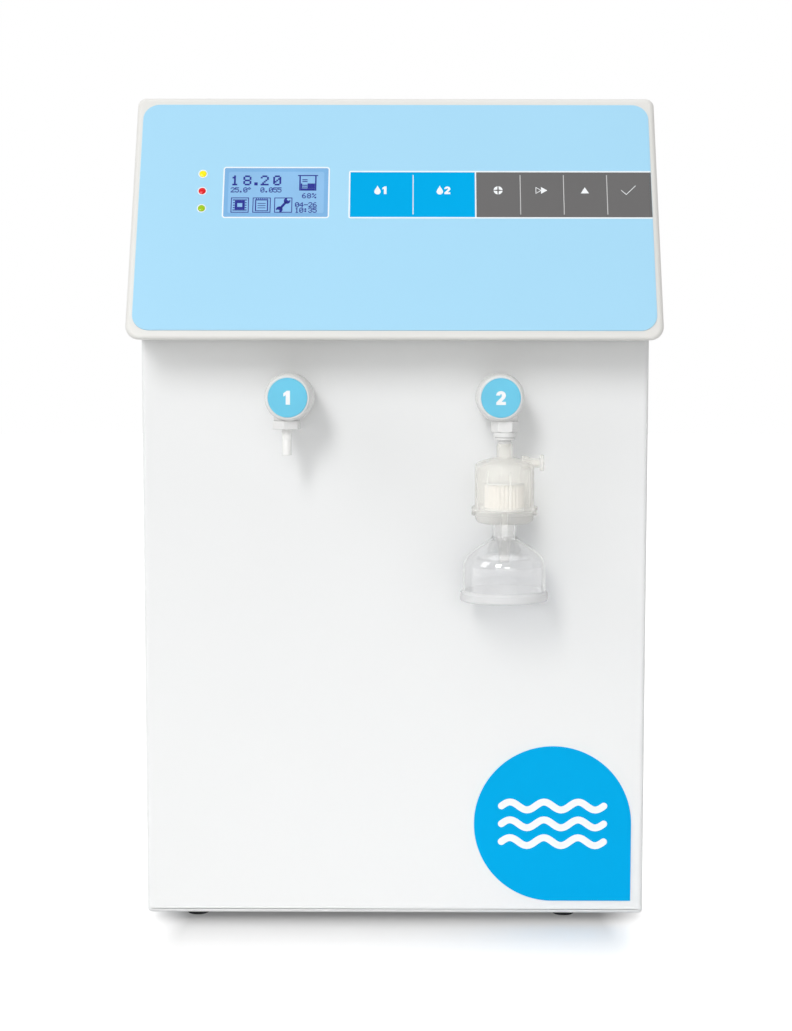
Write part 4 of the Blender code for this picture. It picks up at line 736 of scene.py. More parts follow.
def make_floor():
    """Pale floor that keeps the shadows and runs out white."""
    material = bpy.data.materials.new("studio_floor")
    material.use_nodes = True
    tree = material.node_tree
    away = wired(tree, "ShaderNodeTexCoord").outputs["Object"]
    for operation, *amount in (("ABSOLUTE",), ("SUBTRACT", FLOOR_GLOW_START), ("MAXIMUM", (0, 0, 0)),
                               ("MULTIPLY", FLOOR_GLOW_STRETCH), ("LENGTH",)):
        step = wired(tree, "ShaderNodeVectorMath", dict(enumerate([away, *amount])), operation=operation)
        away = step.outputs["Value" if operation == "LENGTH" else "Vector"]
    glow = spread(tree, away, *FLOOR_GLOW, 0.0, FLOOR_GLOW_REACH)
    feed(tree, tree.nodes["Principled BSDF"], {
        "Base Color": FLOOR_COLOUR, "Roughness": 0.9, "Specular IOR Level": 0.0, "Emission Color": WHITE,
        "Emission Strength": maths(tree, "MULTIPLY", glow, seen_share(tree, 0.0, 1.0))})
    floor = lone(slab(circle((0, 0), FLOOR_RADIUS, 64), -FLOOR_DEPTH, 0), "floor")
    floor.data.materials.append(material)


def make_lamps():
    for name, place, aim, (wide, tall), spread_angle, power in LAMPS:
        data = bpy.data.lights.new(name, "AREA")
        data.shape = "RECTANGLE"
        data.size, data.size_y = wide, tall
        data.spread = math.radians(spread_angle)
        data.energy = power
        lamp = stand(name, data)
        lamp.location = place
        lamp.rotation_euler = (Vector(aim) - Vector(place)).to_track_quat("-Z", "Y").to_euler()


# Cabinet

def cross_screw():
    """A low domed screw head with a cross recess, standing on its place along +Z."""
    radius, rise, root = SCREW_HEAD_RADIUS, SCREW_HEAD_RISE, -OVERRUN / 4
    dome = arc((0, SCREW_RIM), (radius, rise - SCREW_RIM), 0, 90, 5)
    head = turned([(0, root), (radius, root), (radius, SCREW_RIM), *dome], SMALL_SIDES)
    long, half, deep = radius * 0.55, SCREW_SLOT / 2, rise * 0.45
    strokes = ((long, half), (half, long))
    return carved(head, cuts=[block((-x, -y, deep), (x, y, OVERRUN)) for x, y in strokes])


def make_front_panel():
    """Dished front: round edges all round, open behind, with the two holes for the tap stems."""
    low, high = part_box("front_panel")

    def dish(inset, corner, edge, back):
        bottom, side, face = low.z + inset, high.x - inset, low.y + inset
        bm = block((-side, face, bottom), (side, back, high.z + inset))
        round_edges(bm, edges_along_y(bm, lambda end: end.z < bottom + SEAM), corner, ROUND_STEPS)
        rim = [item for item in edges_where(bm, lambda end: end.y < face + SEAM)
               if any(end.co.z < high.z - SEAM for end in item.verts)]
        round_edges(bm, rim, edge, ROUND_STEPS)
        return bm

    cuts = [dish(PANEL_WALL, PANEL_CORNER - PANEL_WALL, PANEL_EDGE - PANEL_WALL, high.y + OVERRUN)]
    for nut in ("tap_1_panel_nut", "tap_2_panel_nut"):
        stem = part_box(nut)
        middle = (stem[0] + stem[1]) / 2
        place = facing((middle.x, low.y, middle.z), (0, 1, 0))
        cuts.append(placed(rod(STEM_HOLE, -OVERRUN, OVERRUN * 2), place))
    shape = carved(dish(0, PANEL_CORNER, PANEL_EDGE, high.y), cuts=cuts)
    piece("cabinet_front", shape, "powder_coat", "front_panel")


def make_sheet_parts():
    """Folded sheet parts keep their solid's form, with the soft edges that paint leaves."""
    for node, name in (("left_side_panel", "side_left"), ("right_side_panel", "side_right"),
                       ("top_cover", "cover"), ("rear_panel", "back")):
        piece(name, soften(copy_of(node), SHEET_EDGE), "powder_coat", node)


def make_screws():
    low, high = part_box("rear_panel")
    front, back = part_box("left_side_panel")
    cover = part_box("top_cover")[1]
    heights = [low.z + SCREW_INSET + (high.z - low.z - 2 * SCREW_INSET) * step / 4 for step in range(5)]
    rear = [(side * (high.x - SCREW_INSET), high.y, height) for side in (-1, 1) for height in heights]
    rear += [(x, high.y, height) for x in (-0.06, 0.06) for height in (heights[0], heights[-1])]
    rear += [(x, cover.y, cover.z - SCREW_INSET * 0.7) for x in (-0.14, 0.0, 0.14)]
    sides = [facing((side * high.x, front.y + (back.y - front.y) * share, low.z + SCREW_INSET), (side, 0, 0))
             for side in (-1, 1) for share in (0.1, 0.5, 0.9)]
    repeated("rear_screws", cross_screw(), [facing(spot, (0, 1, 0)) for spot in rear], "ground_steel")
    repeated("side_screws", cross_screw(), sides, "powder_coat")


def make_feet():
    for corner in ("front_left", "front_right", "rear_left", "rear_right"):
        low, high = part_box(f"foot_{corner}")
        radius = (high.x - low.x) / 2
        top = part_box("base_tray")[0].z - SEAM
        profile = [
            (0, 0.0004), (radius * 0.62, 0.0004), (radius * 0.66, 0.0),
            *arc((radius - 0.0012, 0.0012), 0.0012, -90, 0),
            *arc((radius - 0.0010, top - 0.001), 0.001, 0, 90),
            (0.0025, top), (0.0025, high.z - 0.0006), (0.0019, high.z), (0, high.z),
        ]
        piece(f"rubber_foot_{corner}", turned(profile, 48), "foot_rubber", f"foot_{corner}",
              axis_of(low, high))


# Control head

DISPENSE_NODES = ("key_dispense_1", "key_dispense_2")
MENU_NODES = ("key_menu", "key_next", "key_increase", "key_confirm")
KEY_NODES = (*DISPENSE_NODES, *MENU_NODES)
FACE_BACK = FILM_MIN.z - FILM_GAP - FACE_WALL


def inner_slope_y(height):
    """Depth of the head's inner face at a height."""
    return HEAD_MIN.y + (height - HEAD_MIN.z) * math.tan(SLOPE_TILT) - FACE_BACK / math.cos(SLOPE_TILT)


def board_bosses():
    """Posts behind the face that carry the two boards."""
    low, high = face_box("control_board")
    return [placed(rod(BOSS_RADIUS, high.z + SEAM, FACE_BACK + FACE_WALL / 2), FACE @ at(x, y))
            for x in (low.x + BOSS_INSET, high.x - BOSS_INSET)
            for y in (low.y + BOSS_INSET, high.y - BOSS_INSET)]


def film_outline(margin):
    return rounded(FILM_MIN.x - margin, FILM_MIN.y - margin, FILM_MAX.x + margin, FILM_MAX.y + margin,
                   FILM_CORNER + margin, 12)


def lamp_holes(radius, low):
    return [placed(rod(radius, low, OVERRUN), axis_of(*face_box(node))) for node in LAMP_LENSES]


def window_reach():
    """Left, low, right and high limits of the display on the face."""
    low, high = face_box("display_window")
    return low.x - 0.0002, low.y, high.x + 0.0002, high.y + 0.0008


def key_reach(node):
    """Left, low, right and high limits of a key on the face, met by its neighbours at a hair's seam."""
    low, high = face_box(node)
    return low.x - 0.00013, low.y + 0.0004, high.x + 0.00013, high.y + 0.00013


def make_head():
    """Housing with a recess for the film and openings for keys, display and lamps."""
    front, back, low, high, side = HEAD_MIN.y, HEAD_MAX.y, HEAD_MIN.z, HEAD_MAX.z, HEAD_MAX.x
    lean = math.tan(SLOPE_TILT)
    shape = prism_x([(front, low), (back, low), (back, high), (front + SLOPE_BACK, high)], -side, side)
    for level, radius in ((low, HEAD_LOW_CORNER), (high, HEAD_TOP_CORNER)):
        round_edges(shape, edges_along_y(shape, lambda end: abs(end.z - level) < SEAM), radius, ROUND_STEPS)
    round_edges(shape, edges_where(shape, lambda end: abs(end.y - front - (end.z - low) * lean) < SEAM),
                HEAD_EDGE, 6)
    round_edges(shape, edges_where(shape, lambda end: end.y > back - SEAM), HEAD_BACK_EDGE, 2)

    panel, floor, roof = FRONT_Y - PANEL_GAP, low + HEAD_WALL, high - HEAD_WALL
    cavity = prism_x([
        (inner_slope_y(floor), floor), (panel, floor), (panel, low - OVERRUN),
        (back + OVERRUN, low - OVERRUN), (back + OVERRUN, roof), (inner_slope_y(roof), roof),
    ], HEAD_SIDE_WALL - side, side - HEAD_SIDE_WALL)
    deep = FILM_MIN.z - FACE_WALL - OVERRUN
    keys = [face_box(node) for node in KEY_NODES]
    near, far = face_box("display_window")
    openings = [
        slab(film_outline(SEAM), FILM_MIN.z - SEAM, OVERRUN),
        block((min(low.x for low, _ in keys) - KEY_OPENING, keys[0][0].y - KEY_OPENING, deep),
              (max(high.x for _, high in keys) + KEY_OPENING, keys[0][1].y + KEY_OPENING, OVERRUN)),
        block((near.x + WINDOW_LEDGE, near.y + WINDOW_LEDGE, deep),
              (far.x - WINDOW_LEDGE, far.y - WINDOW_LEDGE, OVERRUN)),
        *lamp_holes(HOUSING_LAMP_HOLE, deep),
    ]
    cuts = [cavity, *(placed(opening, FACE) for opening in openings)]
    piece("head_housing", carved(shape, cuts=cuts, joins=board_bosses()), "head_moulding", "head_shell")


def make_film():
    """Printed film round the keys, the display and the lamps."""
    shape = slab(film_outline(0), FILM_MIN.z, FILM_MAX.z)
    round_top(shape, FILM_MAX.z, FILM_EDGE, 2)
    deep = FILM_MIN.z - OVERRUN
    openings = [key_reach(group[0])[:2] + key_reach(group[-1])[2:] for group in (DISPENSE_NODES, MENU_NODES)]
    cuts = [slab(rectangle(left - SEAM, low - SEAM, right + SEAM, high + SEAM), deep, OVERRUN)
            for left, low, right, high in (window_reach(), *openings)]
    piece("film_sheet", carved(shape, cuts=[*cuts, *lamp_holes(FILM_LAMP_HOLE, deep)]), "film",
          "membrane_overlay", FACE)


def make_film_prints():
    """White frame of the key bar, its grey run-out at the edge, and a ring round each lamp."""
    top = FILM_MAX.z + HAIR
    left, low = key_reach(KEY_NODES[0])[:2]
    right, high = key_reach(KEY_NODES[-1])[2:]
    edge, line, turn = FILM_MAX.x - FILM_EDGE, FRAME_LINE, KEY_CORNER - FRAME_LINE
    white = printed([
        (edge, low - line), (edge, low), (left, low), (left, high), (edge, high), (edge, high + line),
        *arc((left + turn, high - turn), KEY_CORNER, 90, 180),
        *arc((left + turn, low + turn), KEY_CORNER, 180, 270),
    ], top)
    between = key_reach(DISPENSE_NODES[-1])[2] + SEAM, key_reach(MENU_NODES[0])[0] - SEAM
    printed(rectangle(between[0], low, between[1], high), top, white)
    for node in LAMP_LENSES:
        middle = axis_of(*face_box(node)).translation
        band(circle(middle, LAMP_RING[1], 48), circle(middle, LAMP_RING[0], 48), top, top + PRINT, white)
    piece("film_lines", white, "film_white", place=FACE)
    run_out = printed(rectangle(right + SEAM, low, edge, high), top)
    piece("key_bar_end", run_out, "menu_film", place=FACE)


def drop_outline(x, y, height):
    """A water drop that stands on its round end."""
    radius = height * 0.31
    middle = y + radius
    right = sweep((x + radius * 0.94, middle + radius * 0.34), (x + radius * 0.62, middle + radius * 1.15),
                  (x + radius * 0.10, middle + radius * 1.60), (x, y + height))
    left = [(2 * x - a, b) for a, b in reversed(right)]
    return [*arc((x, middle), radius, 160, 380, 20), *right[1:], *left[1:-1]]


def key_mark(node):
    """The pictogram of one key about the origin."""
    bm = bmesh.new()

    def drawn(*tenths):
        return [(x * TENTH, y * TENTH) for x, y in tenths]

    if node in DISPENSE_NODES:
        printed(drop_outline(-0.0028, -0.0034, 0.0074), 0, bm)
        number = numeral(str(DISPENSE_NODES.index(node) + 1), 0.0062)
        added(bm, placed(number, at(0.0026, 0)))
    elif node == "key_menu":
        for start in (5, 95, 185, 275):
            centre = arc((0, 0), 0.0008, start + 40, start + 40, 1)[0]
            printed([centre, *arc((0, 0), 0.0033, start, start + 80)], 0, bm)
    elif node == "key_next":
        band(drawn((-42, -28), (-42, 28), (1, 0)), drawn((-38, -21), (-38, 21), (-7, 0)), 0, PRINT, bm)
        printed(drawn((-3, -28), (42, 0), (-3, 28)), 0, bm)
    elif node == "key_increase":
        printed(drawn((-30, -24), (30, -24), (0, 26)), 0, bm)
    else:
        printed(drawn((-52, 1), (-15, -36), (56, 37), (53, 40), (-15, -30), (-49, 4)), 0, bm)
    return bm


def make_keys():
    """A film tile for each key, with its pictogram and the divider on its left edge."""
    top = FILM_MAX.z + HAIR
    for node in KEY_NODES:
        left, low, right, high = key_reach(node)
        x, y = (left + right) / 2, (low + high) / 2
        dispense = node in DISPENSE_NODES
        coat, divider = ("dispense_film", "key_print") if dispense else ("menu_film", "divider_print")
        body = f"{node}_body"
        tile = slab(rectangle(left, low, right, high), FILM_MIN.z, FILM_MAX.z)
        round_top(tile, FILM_MAX.z, SEAM, 1)
        stem = placed(rod(KEY_STEM, face_box(node)[0].z, FILM_MIN.z + SEAM), at(x, y))
        piece(f"{node}_tile", carved(tile, joins=[stem]), coat, node, FACE, body)
        piece(f"{node}_mark", key_mark(node), "key_print", None, FACE @ at(x, y + MARK_RISE, top), body)
        if node not in (DISPENSE_NODES[0], MENU_NODES[0]):
            line = rectangle(left + SEAM, low + DIVIDER_MARGIN, left + DIVIDER_WIDTH, high - DIVIDER_MARGIN)
            piece(f"{node}_divider", printed(line, top), divider, None, FACE, body)


# Display

GLYPHS = {sign: rows.split() for sign, rows in {
    "0": ".###. #...# #..## #.#.# ##..# #...# .###.",
    "1": "..#.. .##.. ..#.. ..#.. ..#.. ..#.. .###.",
    "2": ".###. #...# ....# ...#. ..#.. .#... #####",
    "3": ".###. #...# ....# ..##. ....# #...# .###.",
    "4": "...#. ..##. .#.#. #..#. ##### ...#. ...#.",
    "5": "##### #.... ####. ....# ....# #...# .###.",
    "6": "..##. .#... #.... ####. #...# #...# .###.",
    "8": ".###. #...# #...# .###. #...# #...# .###.",
    ".": "..... ..... ..... ..... ..... .##.. .##..",
    ":": "..... .##.. .##.. ..... .##.. .##.. .....",
    "-": "..... ..... ..... ##### ..... ..... .....",
    "°": ".##.. #..#. .##.. ..... ..... ..... .....",
    "%": "##... ##..# ...#. ..#.. .#... #..## ...##",
    " ": "",
}.items()}

# Lines of the display: characters, left, low, dot to dot, and dots from one character to the next
READING = (
    ("18", 0.0047, 0.0258, BIG_DOT, 8.0),
    (".", 0.0206, 0.0258, BIG_DOT, 6),
    ("20", 0.0263, 0.0258, BIG_DOT, 8.0),
    ("25.0°  0.055", 0.0047, 0.0200, SMALL_DOT, 5.4),
    ("68%", 0.0564, 0.0153, SMALL_DOT, 6.4),
    ("04-26", 0.0515, 0.0080, SMALL_DOT, 5.6),
    ("10:35", 0.0515, 0.0036, SMALL_DOT, 5.6),
)


def dots_of(words, left, low, pitch, step):
    """Places of the lit dots of a line of characters."""
    return [(left + (index * step + column + 0.5) * pitch, low + (6.5 - row) * pitch)
            for index, sign in enumerate(words) for row, cells in enumerate(GLYPHS[sign])
            for column, cell in enumerate(cells) if cell == "#"]


def make_display():
    """Backlit panel behind its window, its darker rim band painted shade round the window's edge, and a white
    frame printed on the film.
    """
    low, high = face_box("display_window")
    left, bottom, right, top = window_reach()

    def inset(amount, corner):
        return rounded(left + amount, bottom + amount, right - amount, top - amount, corner)

    shape = slab(inset(0, GLASS_CORNER), low.z, high.z)
    round_top(shape, high.z, SEAM, 1)
    # the whole glass in the darker rim colour, painted shade round the window's edge; the lit area lies over
    # its middle
    piece("display_glass", shape, "lcd_edge", "display_window", FACE)
    level = high.z + HAIR
    piece("display_lit_area", printed(inset(*LIT_INSET), level), "lcd_glass", place=FACE)
    white = band(inset(-FRAME_OUT, GLASS_CORNER + FRAME_OUT),
                 inset(FRAME_IN, GLASS_CORNER - FRAME_IN), level, level + PRINT)
    piece("display_frame", white, "film_white", place=FACE)
    picture_plane = FACE @ at(low.x, low.y, level + PRINT + HAIR)
    make_reading(picture_plane)
    make_display_pictures(picture_plane)


def make_reading(plane):
    """The numbers on the display, dot by dot."""
    for index, (words, left, low, pitch, step) in enumerate(READING):
        half = pitch * DOT_FILL / 2
        dot = printed(rectangle(-half, -half, half, half))
        places = [plane @ at(x, y) for x, y in dots_of(words, left, low, pitch, step)]
        repeated(f"reading_{index + 1}", dot, places, "lcd_ink")


def make_display_pictures(plane):
    """Tank with its level, and boxed cartridge, list and tool, drawn in tenths of a millimetre."""
    bm = bmesh.new()
    boxes, floor = (52, 209, 365), 36

    def area(x, y, *limits):
        return rectangle(*((limit + start) * TENTH for limit, start in zip(limits, (x, y, x, y))))

    def bars(x, y, *all_limits):
        for limits in all_limits:
            printed(area(x, y, *limits), 0, bm)

    def ring(x, y, outer, inner):
        band(area(x, y, *outer), area(x, y, *inner), 0, PRINT, bm)

    bars(0, 0, (531, 334, 677, 342), (542, 215, 552, 333), (656, 215, 666, 333), (553, 215, 655, 233),
         (602, 234, 655, 273), (553, 234, 563, 273), *((564, y, 601, y + 7) for y in (240, 255, 285, 300)))
    for x in boxes:
        ring(x, floor, (0, 0, 130, 122), (6, 6, 124, 116))
    cartridge, sheet, _ = boxes
    bars(cartridge, floor, (14, 17, 116, 25), (14, 98, 116, 106),
         *((x, y - 4, x + 12, y + 4) for y in (40, 60, 80) for x in (16, 102)))
    ring(cartridge, floor, (29, 26, 101, 97), (47, 46, 83, 77))
    bars(sheet, floor, (18, 12, 26, 98), (104, 12, 112, 98), (27, 12, 103, 18), (18, 99, 112, 107),
         *((25 + 15 * index, 108, 31 + 15 * index, 116) for index in range(6)),
         *((36, y, 94, y + 5) for y in (36, 54, 72)))

    tool = printed(rectangle(-0.0034, -0.0009, 0.0034, 0.0009))
    jaw = [*arc((0.0044, 0), 0.0024, 35, 325, 29), (0.0050, -0.0007), (0.0050, 0.0007)]
    for side in (1, -1):
        printed([(side * x, y) for x, y in jaw], 0, tool)
    added(bm, placed(tool, at(0.0430, 0.0097) @ Matrix.Rotation(math.radians(52), 4, "Z")))
    piece("display_pictures", bm, "lcd_ink", place=plane)


def make_lamp_lenses():
    for node, coat in LAMP_LENSES.items():
        low, high = face_box(node)
        wide, dome, step = (high.x - low.x) / 2, 0.0026, low.z + 0.0006
        profile = [(0, low.z), (wide, low.z), (wide, step), (dome, step), (dome, FILM_MAX.z),
                   *arc((0, FILM_MAX.z), (dome, high.z - FILM_MAX.z), 0, 90)[1:]]
        piece(f"{node}_lens", turned(profile, 48), coat, node, FACE @ axis_of(low, high))


# Taps

def make_tap(tap, outlet_node, sign):
    """Round housing with its outlet boss below, and the numbered disc on its face."""
    low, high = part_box(f"{tap}_disc")
    x, z = (low.x + high.x) / 2, (low.z + high.z) / 2
    housing_low, housing_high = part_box(f"{tap}_housing")
    radius = (housing_high.x - housing_low.x) / 2
    root, reach = FRONT_Y - housing_high.y, FRONT_Y - housing_low.y
    disc = (high.x - low.x) / 2 - DISC_SHRINK
    rim, floor, round_low = disc + 0.0006, reach - 0.0010, reach - TAP_ROUND
    profile = [
        (0, root), (0.0080, root), (0.0080, 0.0003), (TAP_FOOT - 0.0006, 0.0003), (TAP_FOOT, 0.0009),
        *sweep((TAP_FOOT + 0.0001, 0.0080), (TAP_FOOT + 0.0008, 0.0150), (radius, round_low - 0.0080),
               (radius, round_low), 12)[:-1],
        *arc((rim, round_low), (radius - rim, TAP_ROUND), 0, 90, 20),
        (disc + 0.0001, reach - 0.0002), (disc + 0.0001, floor), (0, floor),
    ]
    place = at(x, FRONT_Y, z) @ UPRIGHT
    boss_low = housing_low.z + NUT_LIFT
    boss = turned([(0, boss_low), *arc((0.0088, boss_low + 0.0006), 0.0006, -90, 0, 4),
                   (0.0094, z - radius / 2), (0, z - radius / 2)], 64)
    shape = carved(placed(turned(profile), place), joins=[placed(boss, axis_of(*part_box(outlet_node)))])
    piece(f"{tap}_body", shape, "white_moulding", f"{tap}_housing")

    back, front = FRONT_Y - high.y, FRONT_Y - low.y
    edge = arc((disc - DISC_EDGE, front - DISC_EDGE), DISC_EDGE, 0, 90, 5)
    label = [(0, back), (disc, back), *edge, (0, front)]
    piece(f"{tap}_label", turned(label), "tap_label", f"{tap}_disc", place)
    piece(f"{tap}_number", numeral(sign, NUMBER_HEIGHT), "label_white", place=place @ at(0, 0, front + HAIR))


def make_nut(name, node, flats, bore, turn=0.0, upright=True, drop=0.0, chamfer=False):
    """Hexagonal nut with soft corners and a round hole; an upright one closes up to the boss above it."""
    low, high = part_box(node)
    if upright:
        high.z += NUT_LIFT + NUT_CLOSE
        low.z -= drop
    half = (high.z - low.z if upright else high.y - low.y) / 2
    cuts = [rod(bore, -half * 2, half * 2, 48)]
    if chamfer:
        start, outside = flats / 2 - 0.0002, flats / math.sqrt(3) + 0.001
        rise = (outside - start) * math.tan(math.radians(30))
        cone = [(start, -half - HAIR), (outside, -half - HAIR), (outside, rise - half)]
        cuts.append(turned(cone, 64, ring=True))
    shape = carved(hexagon(flats, -half, half, NUT_EDGE, 3), cuts=cuts)
    direction = (0, 0, 1) if upright else (0, 1, 0)
    piece(name, shape, "white_moulding", node,
          facing((low + high) / 2, direction) @ Matrix.Rotation(math.radians(turn), 4, "Z"))


def make_spout():
    low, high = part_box("tap_1_spout")
    slim, bore, step = (high.x - low.x) / 2, 0.0021, (low.z + high.z) / 2
    wide = slim + 0.0002
    profile = [
        (bore, high.z), (wide - 0.0003, high.z), (wide, high.z - 0.0003), (wide, step + 0.0002), (slim, step),
        *arc((slim - 0.0005, low.z + 0.0005), 0.0005, 0, -90, 4),
        *arc((bore + 0.0003, low.z + 0.0003), 0.0003, 270, 180, 3),
    ]
    piece("spout", turned(profile, 64, ring=True), "white_tube", "tap_1_spout", axis_of(low, high))


def make_adapter():
    """Adapter from the second tap to the filter: grooved collar, neck and lip."""
    low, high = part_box("tap_2_adapter")
    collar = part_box("tap_2_nut")[0].z
    groove, collar_low = collar - 0.0036, collar - 0.0055
    neck = collar_low - 0.0012
    profile = [
        (0.0022, high.z), (0.0048, high.z), (0.0048, collar), (0.0081, collar),
        *arc((0.0075, groove + 0.0006), 0.0006, 0, -90, 4), (0.0068, groove), (0.0068, groove - 0.0003),
        *arc((0.0068, groove - 0.0008), 0.0005, 90, 0, 4),
        *arc((0.0068, collar_low + 0.0005), 0.0005, 0, -90, 4),
        (0.0041, collar_low), (0.0041, neck), *arc((0.0047, neck - 0.0003), 0.0003, 90, 0, 3),
        *arc((0.0047, low.z + 0.0003), 0.0003, 0, -90, 3), (0.0022, low.z),
    ]
    piece("adapter", turned(profile, 64, ring=True), "white_moulding", "tap_2_adapter",
          axis_of(low, high))


# Capsule filter

def make_filter_shell(axis, low, high):
    """Milky shell: stem, rounded shoulder, straight side and clamp flange, in one wall."""
    wall, stem, body, flange = 0.0015, 0.0057, FILTER_RADIUS, 0.0235
    foot = high - 0.0092
    side = foot - 0.0072
    rim = low + 0.0029
    outer = sweep((stem, foot), (0.0160, foot - 0.0026), (body, side + 0.0040), (body, side), 14)
    inner = sweep((stem - wall, foot - wall), (0.0150, foot - 0.0026 - wall),
                  (body - wall, side + 0.0038 - wall), (body - wall, side - wall), 14)
    profile = [
        (stem - wall, high), *arc((stem - 0.001, high - 0.001), 0.001, 90, 0, 5), (stem, foot + 0.0006),
        *outer, (body, rim + 0.0006), (body + 0.0005, rim),
        *arc((flange - 0.0007, rim - 0.0007), 0.0007, 90, 0, 4), (flange, low), (body - wall, low),
        *reversed(inner),
    ]
    vent_low, vent_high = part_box("vent_valve")
    sideways = facing((axis.translation.x, axis.translation.y, (vent_low.z + vent_high.z) / 2), (1, 0, 0))
    out = vent_high.x - 0.0033 - axis.translation.x
    taper = sweep((0.0050, 0.0145), (0.0048, 0.0170), (0.0035, 0.0175), (0.0035, 0.0190), 6)
    boss = turned([(0, 0.0120), (0.0050, 0.0120), *taper, (0.0035, out), (0, out)], 48)
    shape = carved(placed(turned(profile, ring=True), axis), joins=[placed(boss, sideways)])
    shape = carved(shape, cuts=[placed(rod(0.0022, 0.0100, out + OVERRUN), sideways)])
    piece("filter_housing", shape, "milky_plastic", "filter_shell")


def make_filter_bowl(axis, low, high):
    rim, turn, stem_end = high - 0.0029, 0.0045, low + 0.0161
    bowl_low = stem_end + 0.0120
    profile = [
        (0.0022, high), *arc((0.0228, high - 0.0003), 0.0003, 90, 0, 3),
        *arc((0.0228, rim + 0.0007), 0.0007, 0, -90, 4), (0.0214, rim), (0.0209, rim - 0.0005),
        *arc((0.0209 - turn, bowl_low + turn), turn, 0, -90, 10), (0.0072, bowl_low),
        *arc((0.0072, bowl_low - 0.0008), 0.0008, 90, 180, 4), (0.0064, stem_end + 0.0006),
        (0.0058, stem_end), (0.0051, stem_end - 0.0008), (0.0036, low + 0.0008),
        *arc((0.0031, low + 0.0004), 0.0004, 0, -90, 4), (0.0022, low),
    ]
    piece("filter_bowl", turned(profile, ring=True), "milky_plastic", "filter_base", axis)


def make_filter_core(axis):
    """Pleated sheet between two end caps."""
    low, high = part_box("filter_core")
    radius, edge = (high.x - low.x) / 2, 0.0003
    mesh = grown(bpy.data.meshes.new("core"), PLEATED, Pleats=PLEATS, Steps=8, Radius=radius - 0.0004,
                 Depth=PLEAT_DEPTH, Height=high.z - low.z - 2 * CORE_CAP, Finish=FINISHES["pleated_sheet"])
    mesh.transform(axis @ at(0, 0, low.z + CORE_CAP))
    settle("core_pleats", mesh, "pleated_sheet", "filter_core")
    caps = bmesh.new()
    for base in (low.z, high.z - CORE_CAP):
        top = base + CORE_CAP
        added(caps, turned([(0, base), (radius - edge, base), (radius, base + edge), (radius, top - edge),
                            (radius - edge, top), (0, top)], 64))
    piece("core_caps", caps, "white_moulding", place=axis)


def make_filter_ribs(axis, low, high):
    """Moulded ribs down the shell's side."""
    rib = block((-RIB_WIDTH / 2, -RIB_DEPTH / 2, low + 0.0032), (RIB_WIDTH / 2, RIB_DEPTH / 2, high - 0.0190))
    round_edges(rib, list(rib.edges), RIB_DEPTH * 0.4, 2)
    out = FILTER_RADIUS + RIB_DEPTH / 2 + HAIR
    turns = [RIB_TURN + math.tau * index / RIBS for index in range(RIBS)]
    places = [axis @ Matrix.Rotation(turn, 4, "Z") @ at(0, -out) for turn in turns]
    repeated("filter_ribs", rib, places, "milky_rib")


def make_vent():
    """Vent screw with a notched knob at the filter's side."""
    low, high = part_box("vent_valve")
    middle = (low + high) / 2
    radius = (high.z - low.z) / 2
    knob = high.x - 0.0030
    outline = []
    for step in range(VENT_GRIPS * 6):
        turn = math.tau * step / (VENT_GRIPS * 6)
        out = radius - VENT_GRIP_DEPTH * (1 - math.cos(turn * VENT_GRIPS))
        outline.append((out * math.cos(turn), out * math.sin(turn)))
    shape = slab(outline, knob, high.x)
    rims = [edge for edge in shape.edges if abs(edge.verts[0].co.z - edge.verts[1].co.z) < HAIR]
    round_edges(shape, rims, 0.0004, 2)
    stem = turned([(0, low.x), (0.0017, low.x), (0.0019, low.x + 0.0003), (0.0019, knob + 0.0010),
                   (0, knob + 0.0010)], 32)
    piece("vent_knob", carved(shape, joins=[stem]), "milky_plastic", "vent_valve",
          facing((0, middle.y, middle.z), (1, 0, 0)), "vent_valve_body")


def make_filter():
    low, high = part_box("filter_base")
    shell_low, shell_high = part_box("filter_shell")
    axis = axis_of(low, high)
    make_filter_shell(axis, shell_low.z, shell_high.z)
    make_filter_bowl(axis, low.z, high.z)
    make_filter_core(axis)
    make_filter_ribs(axis, shell_low.z, shell_high.z)
    make_vent()


def make_bell():
    """Clear bell of one wall, neck, swept shoulder and skirt, and its thick frosted rim."""
    low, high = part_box("dispensing_bell")
    rim_radius = (high.x - low.x) / 2
    wall, neck, skirt = 0.0016, 0.0087, 0.0297
    foot = high.z - 0.0102
    skirt_top = foot - 0.0205
    rim_top = low.z + 0.0068
    split = rim_top + 0.0010
    outer = sweep((neck, foot), (0.0190, foot - 0.0062), (skirt, skirt_top + 0.0085), (skirt, skirt_top), 24)
    inner = sweep((neck - wall + 0.0006, foot - 0.0014), (0.0180, foot - 0.0076),
                  (skirt - wall, skirt_top + 0.0080), (skirt - wall, skirt_top), 24)
    profile = [
        (neck - wall, foot + 0.0006), (neck - wall, high.z - 0.0003), (neck - wall + 0.0003, high.z),
        *arc((neck - 0.0004, high.z - 0.0004), 0.0004, 90, 0, 3),
        *arc((neck + 0.0020, foot + 0.0018), 0.0020, 180, 235, 6),
        *outer[1:], (skirt, split + HAIR), (skirt - wall, split + HAIR), *reversed(inner),
    ]
    rim = [
        *arc((skirt + 0.0010, split), 0.0010, 180, 260, 4),
        *arc((rim_radius - 0.0009, rim_top - 0.0013), 0.0009, 80, 0, 4),
        *arc((rim_radius - 0.0020, low.z + 0.0020), 0.0020, 0, -90), (skirt - wall + 0.0004, low.z),
        (skirt - wall, low.z + 0.0004), (skirt - wall, split),
    ]
    body, axis = "dispensing_bell_body", axis_of(low, high)
    piece("bell", turned(profile, 128, ring=True), "clear_moulding", "dispensing_bell", axis, body)
    piece("bell_rim", turned(rim, 128, ring=True), "frosted_moulding", None, axis, body)


# Front badge

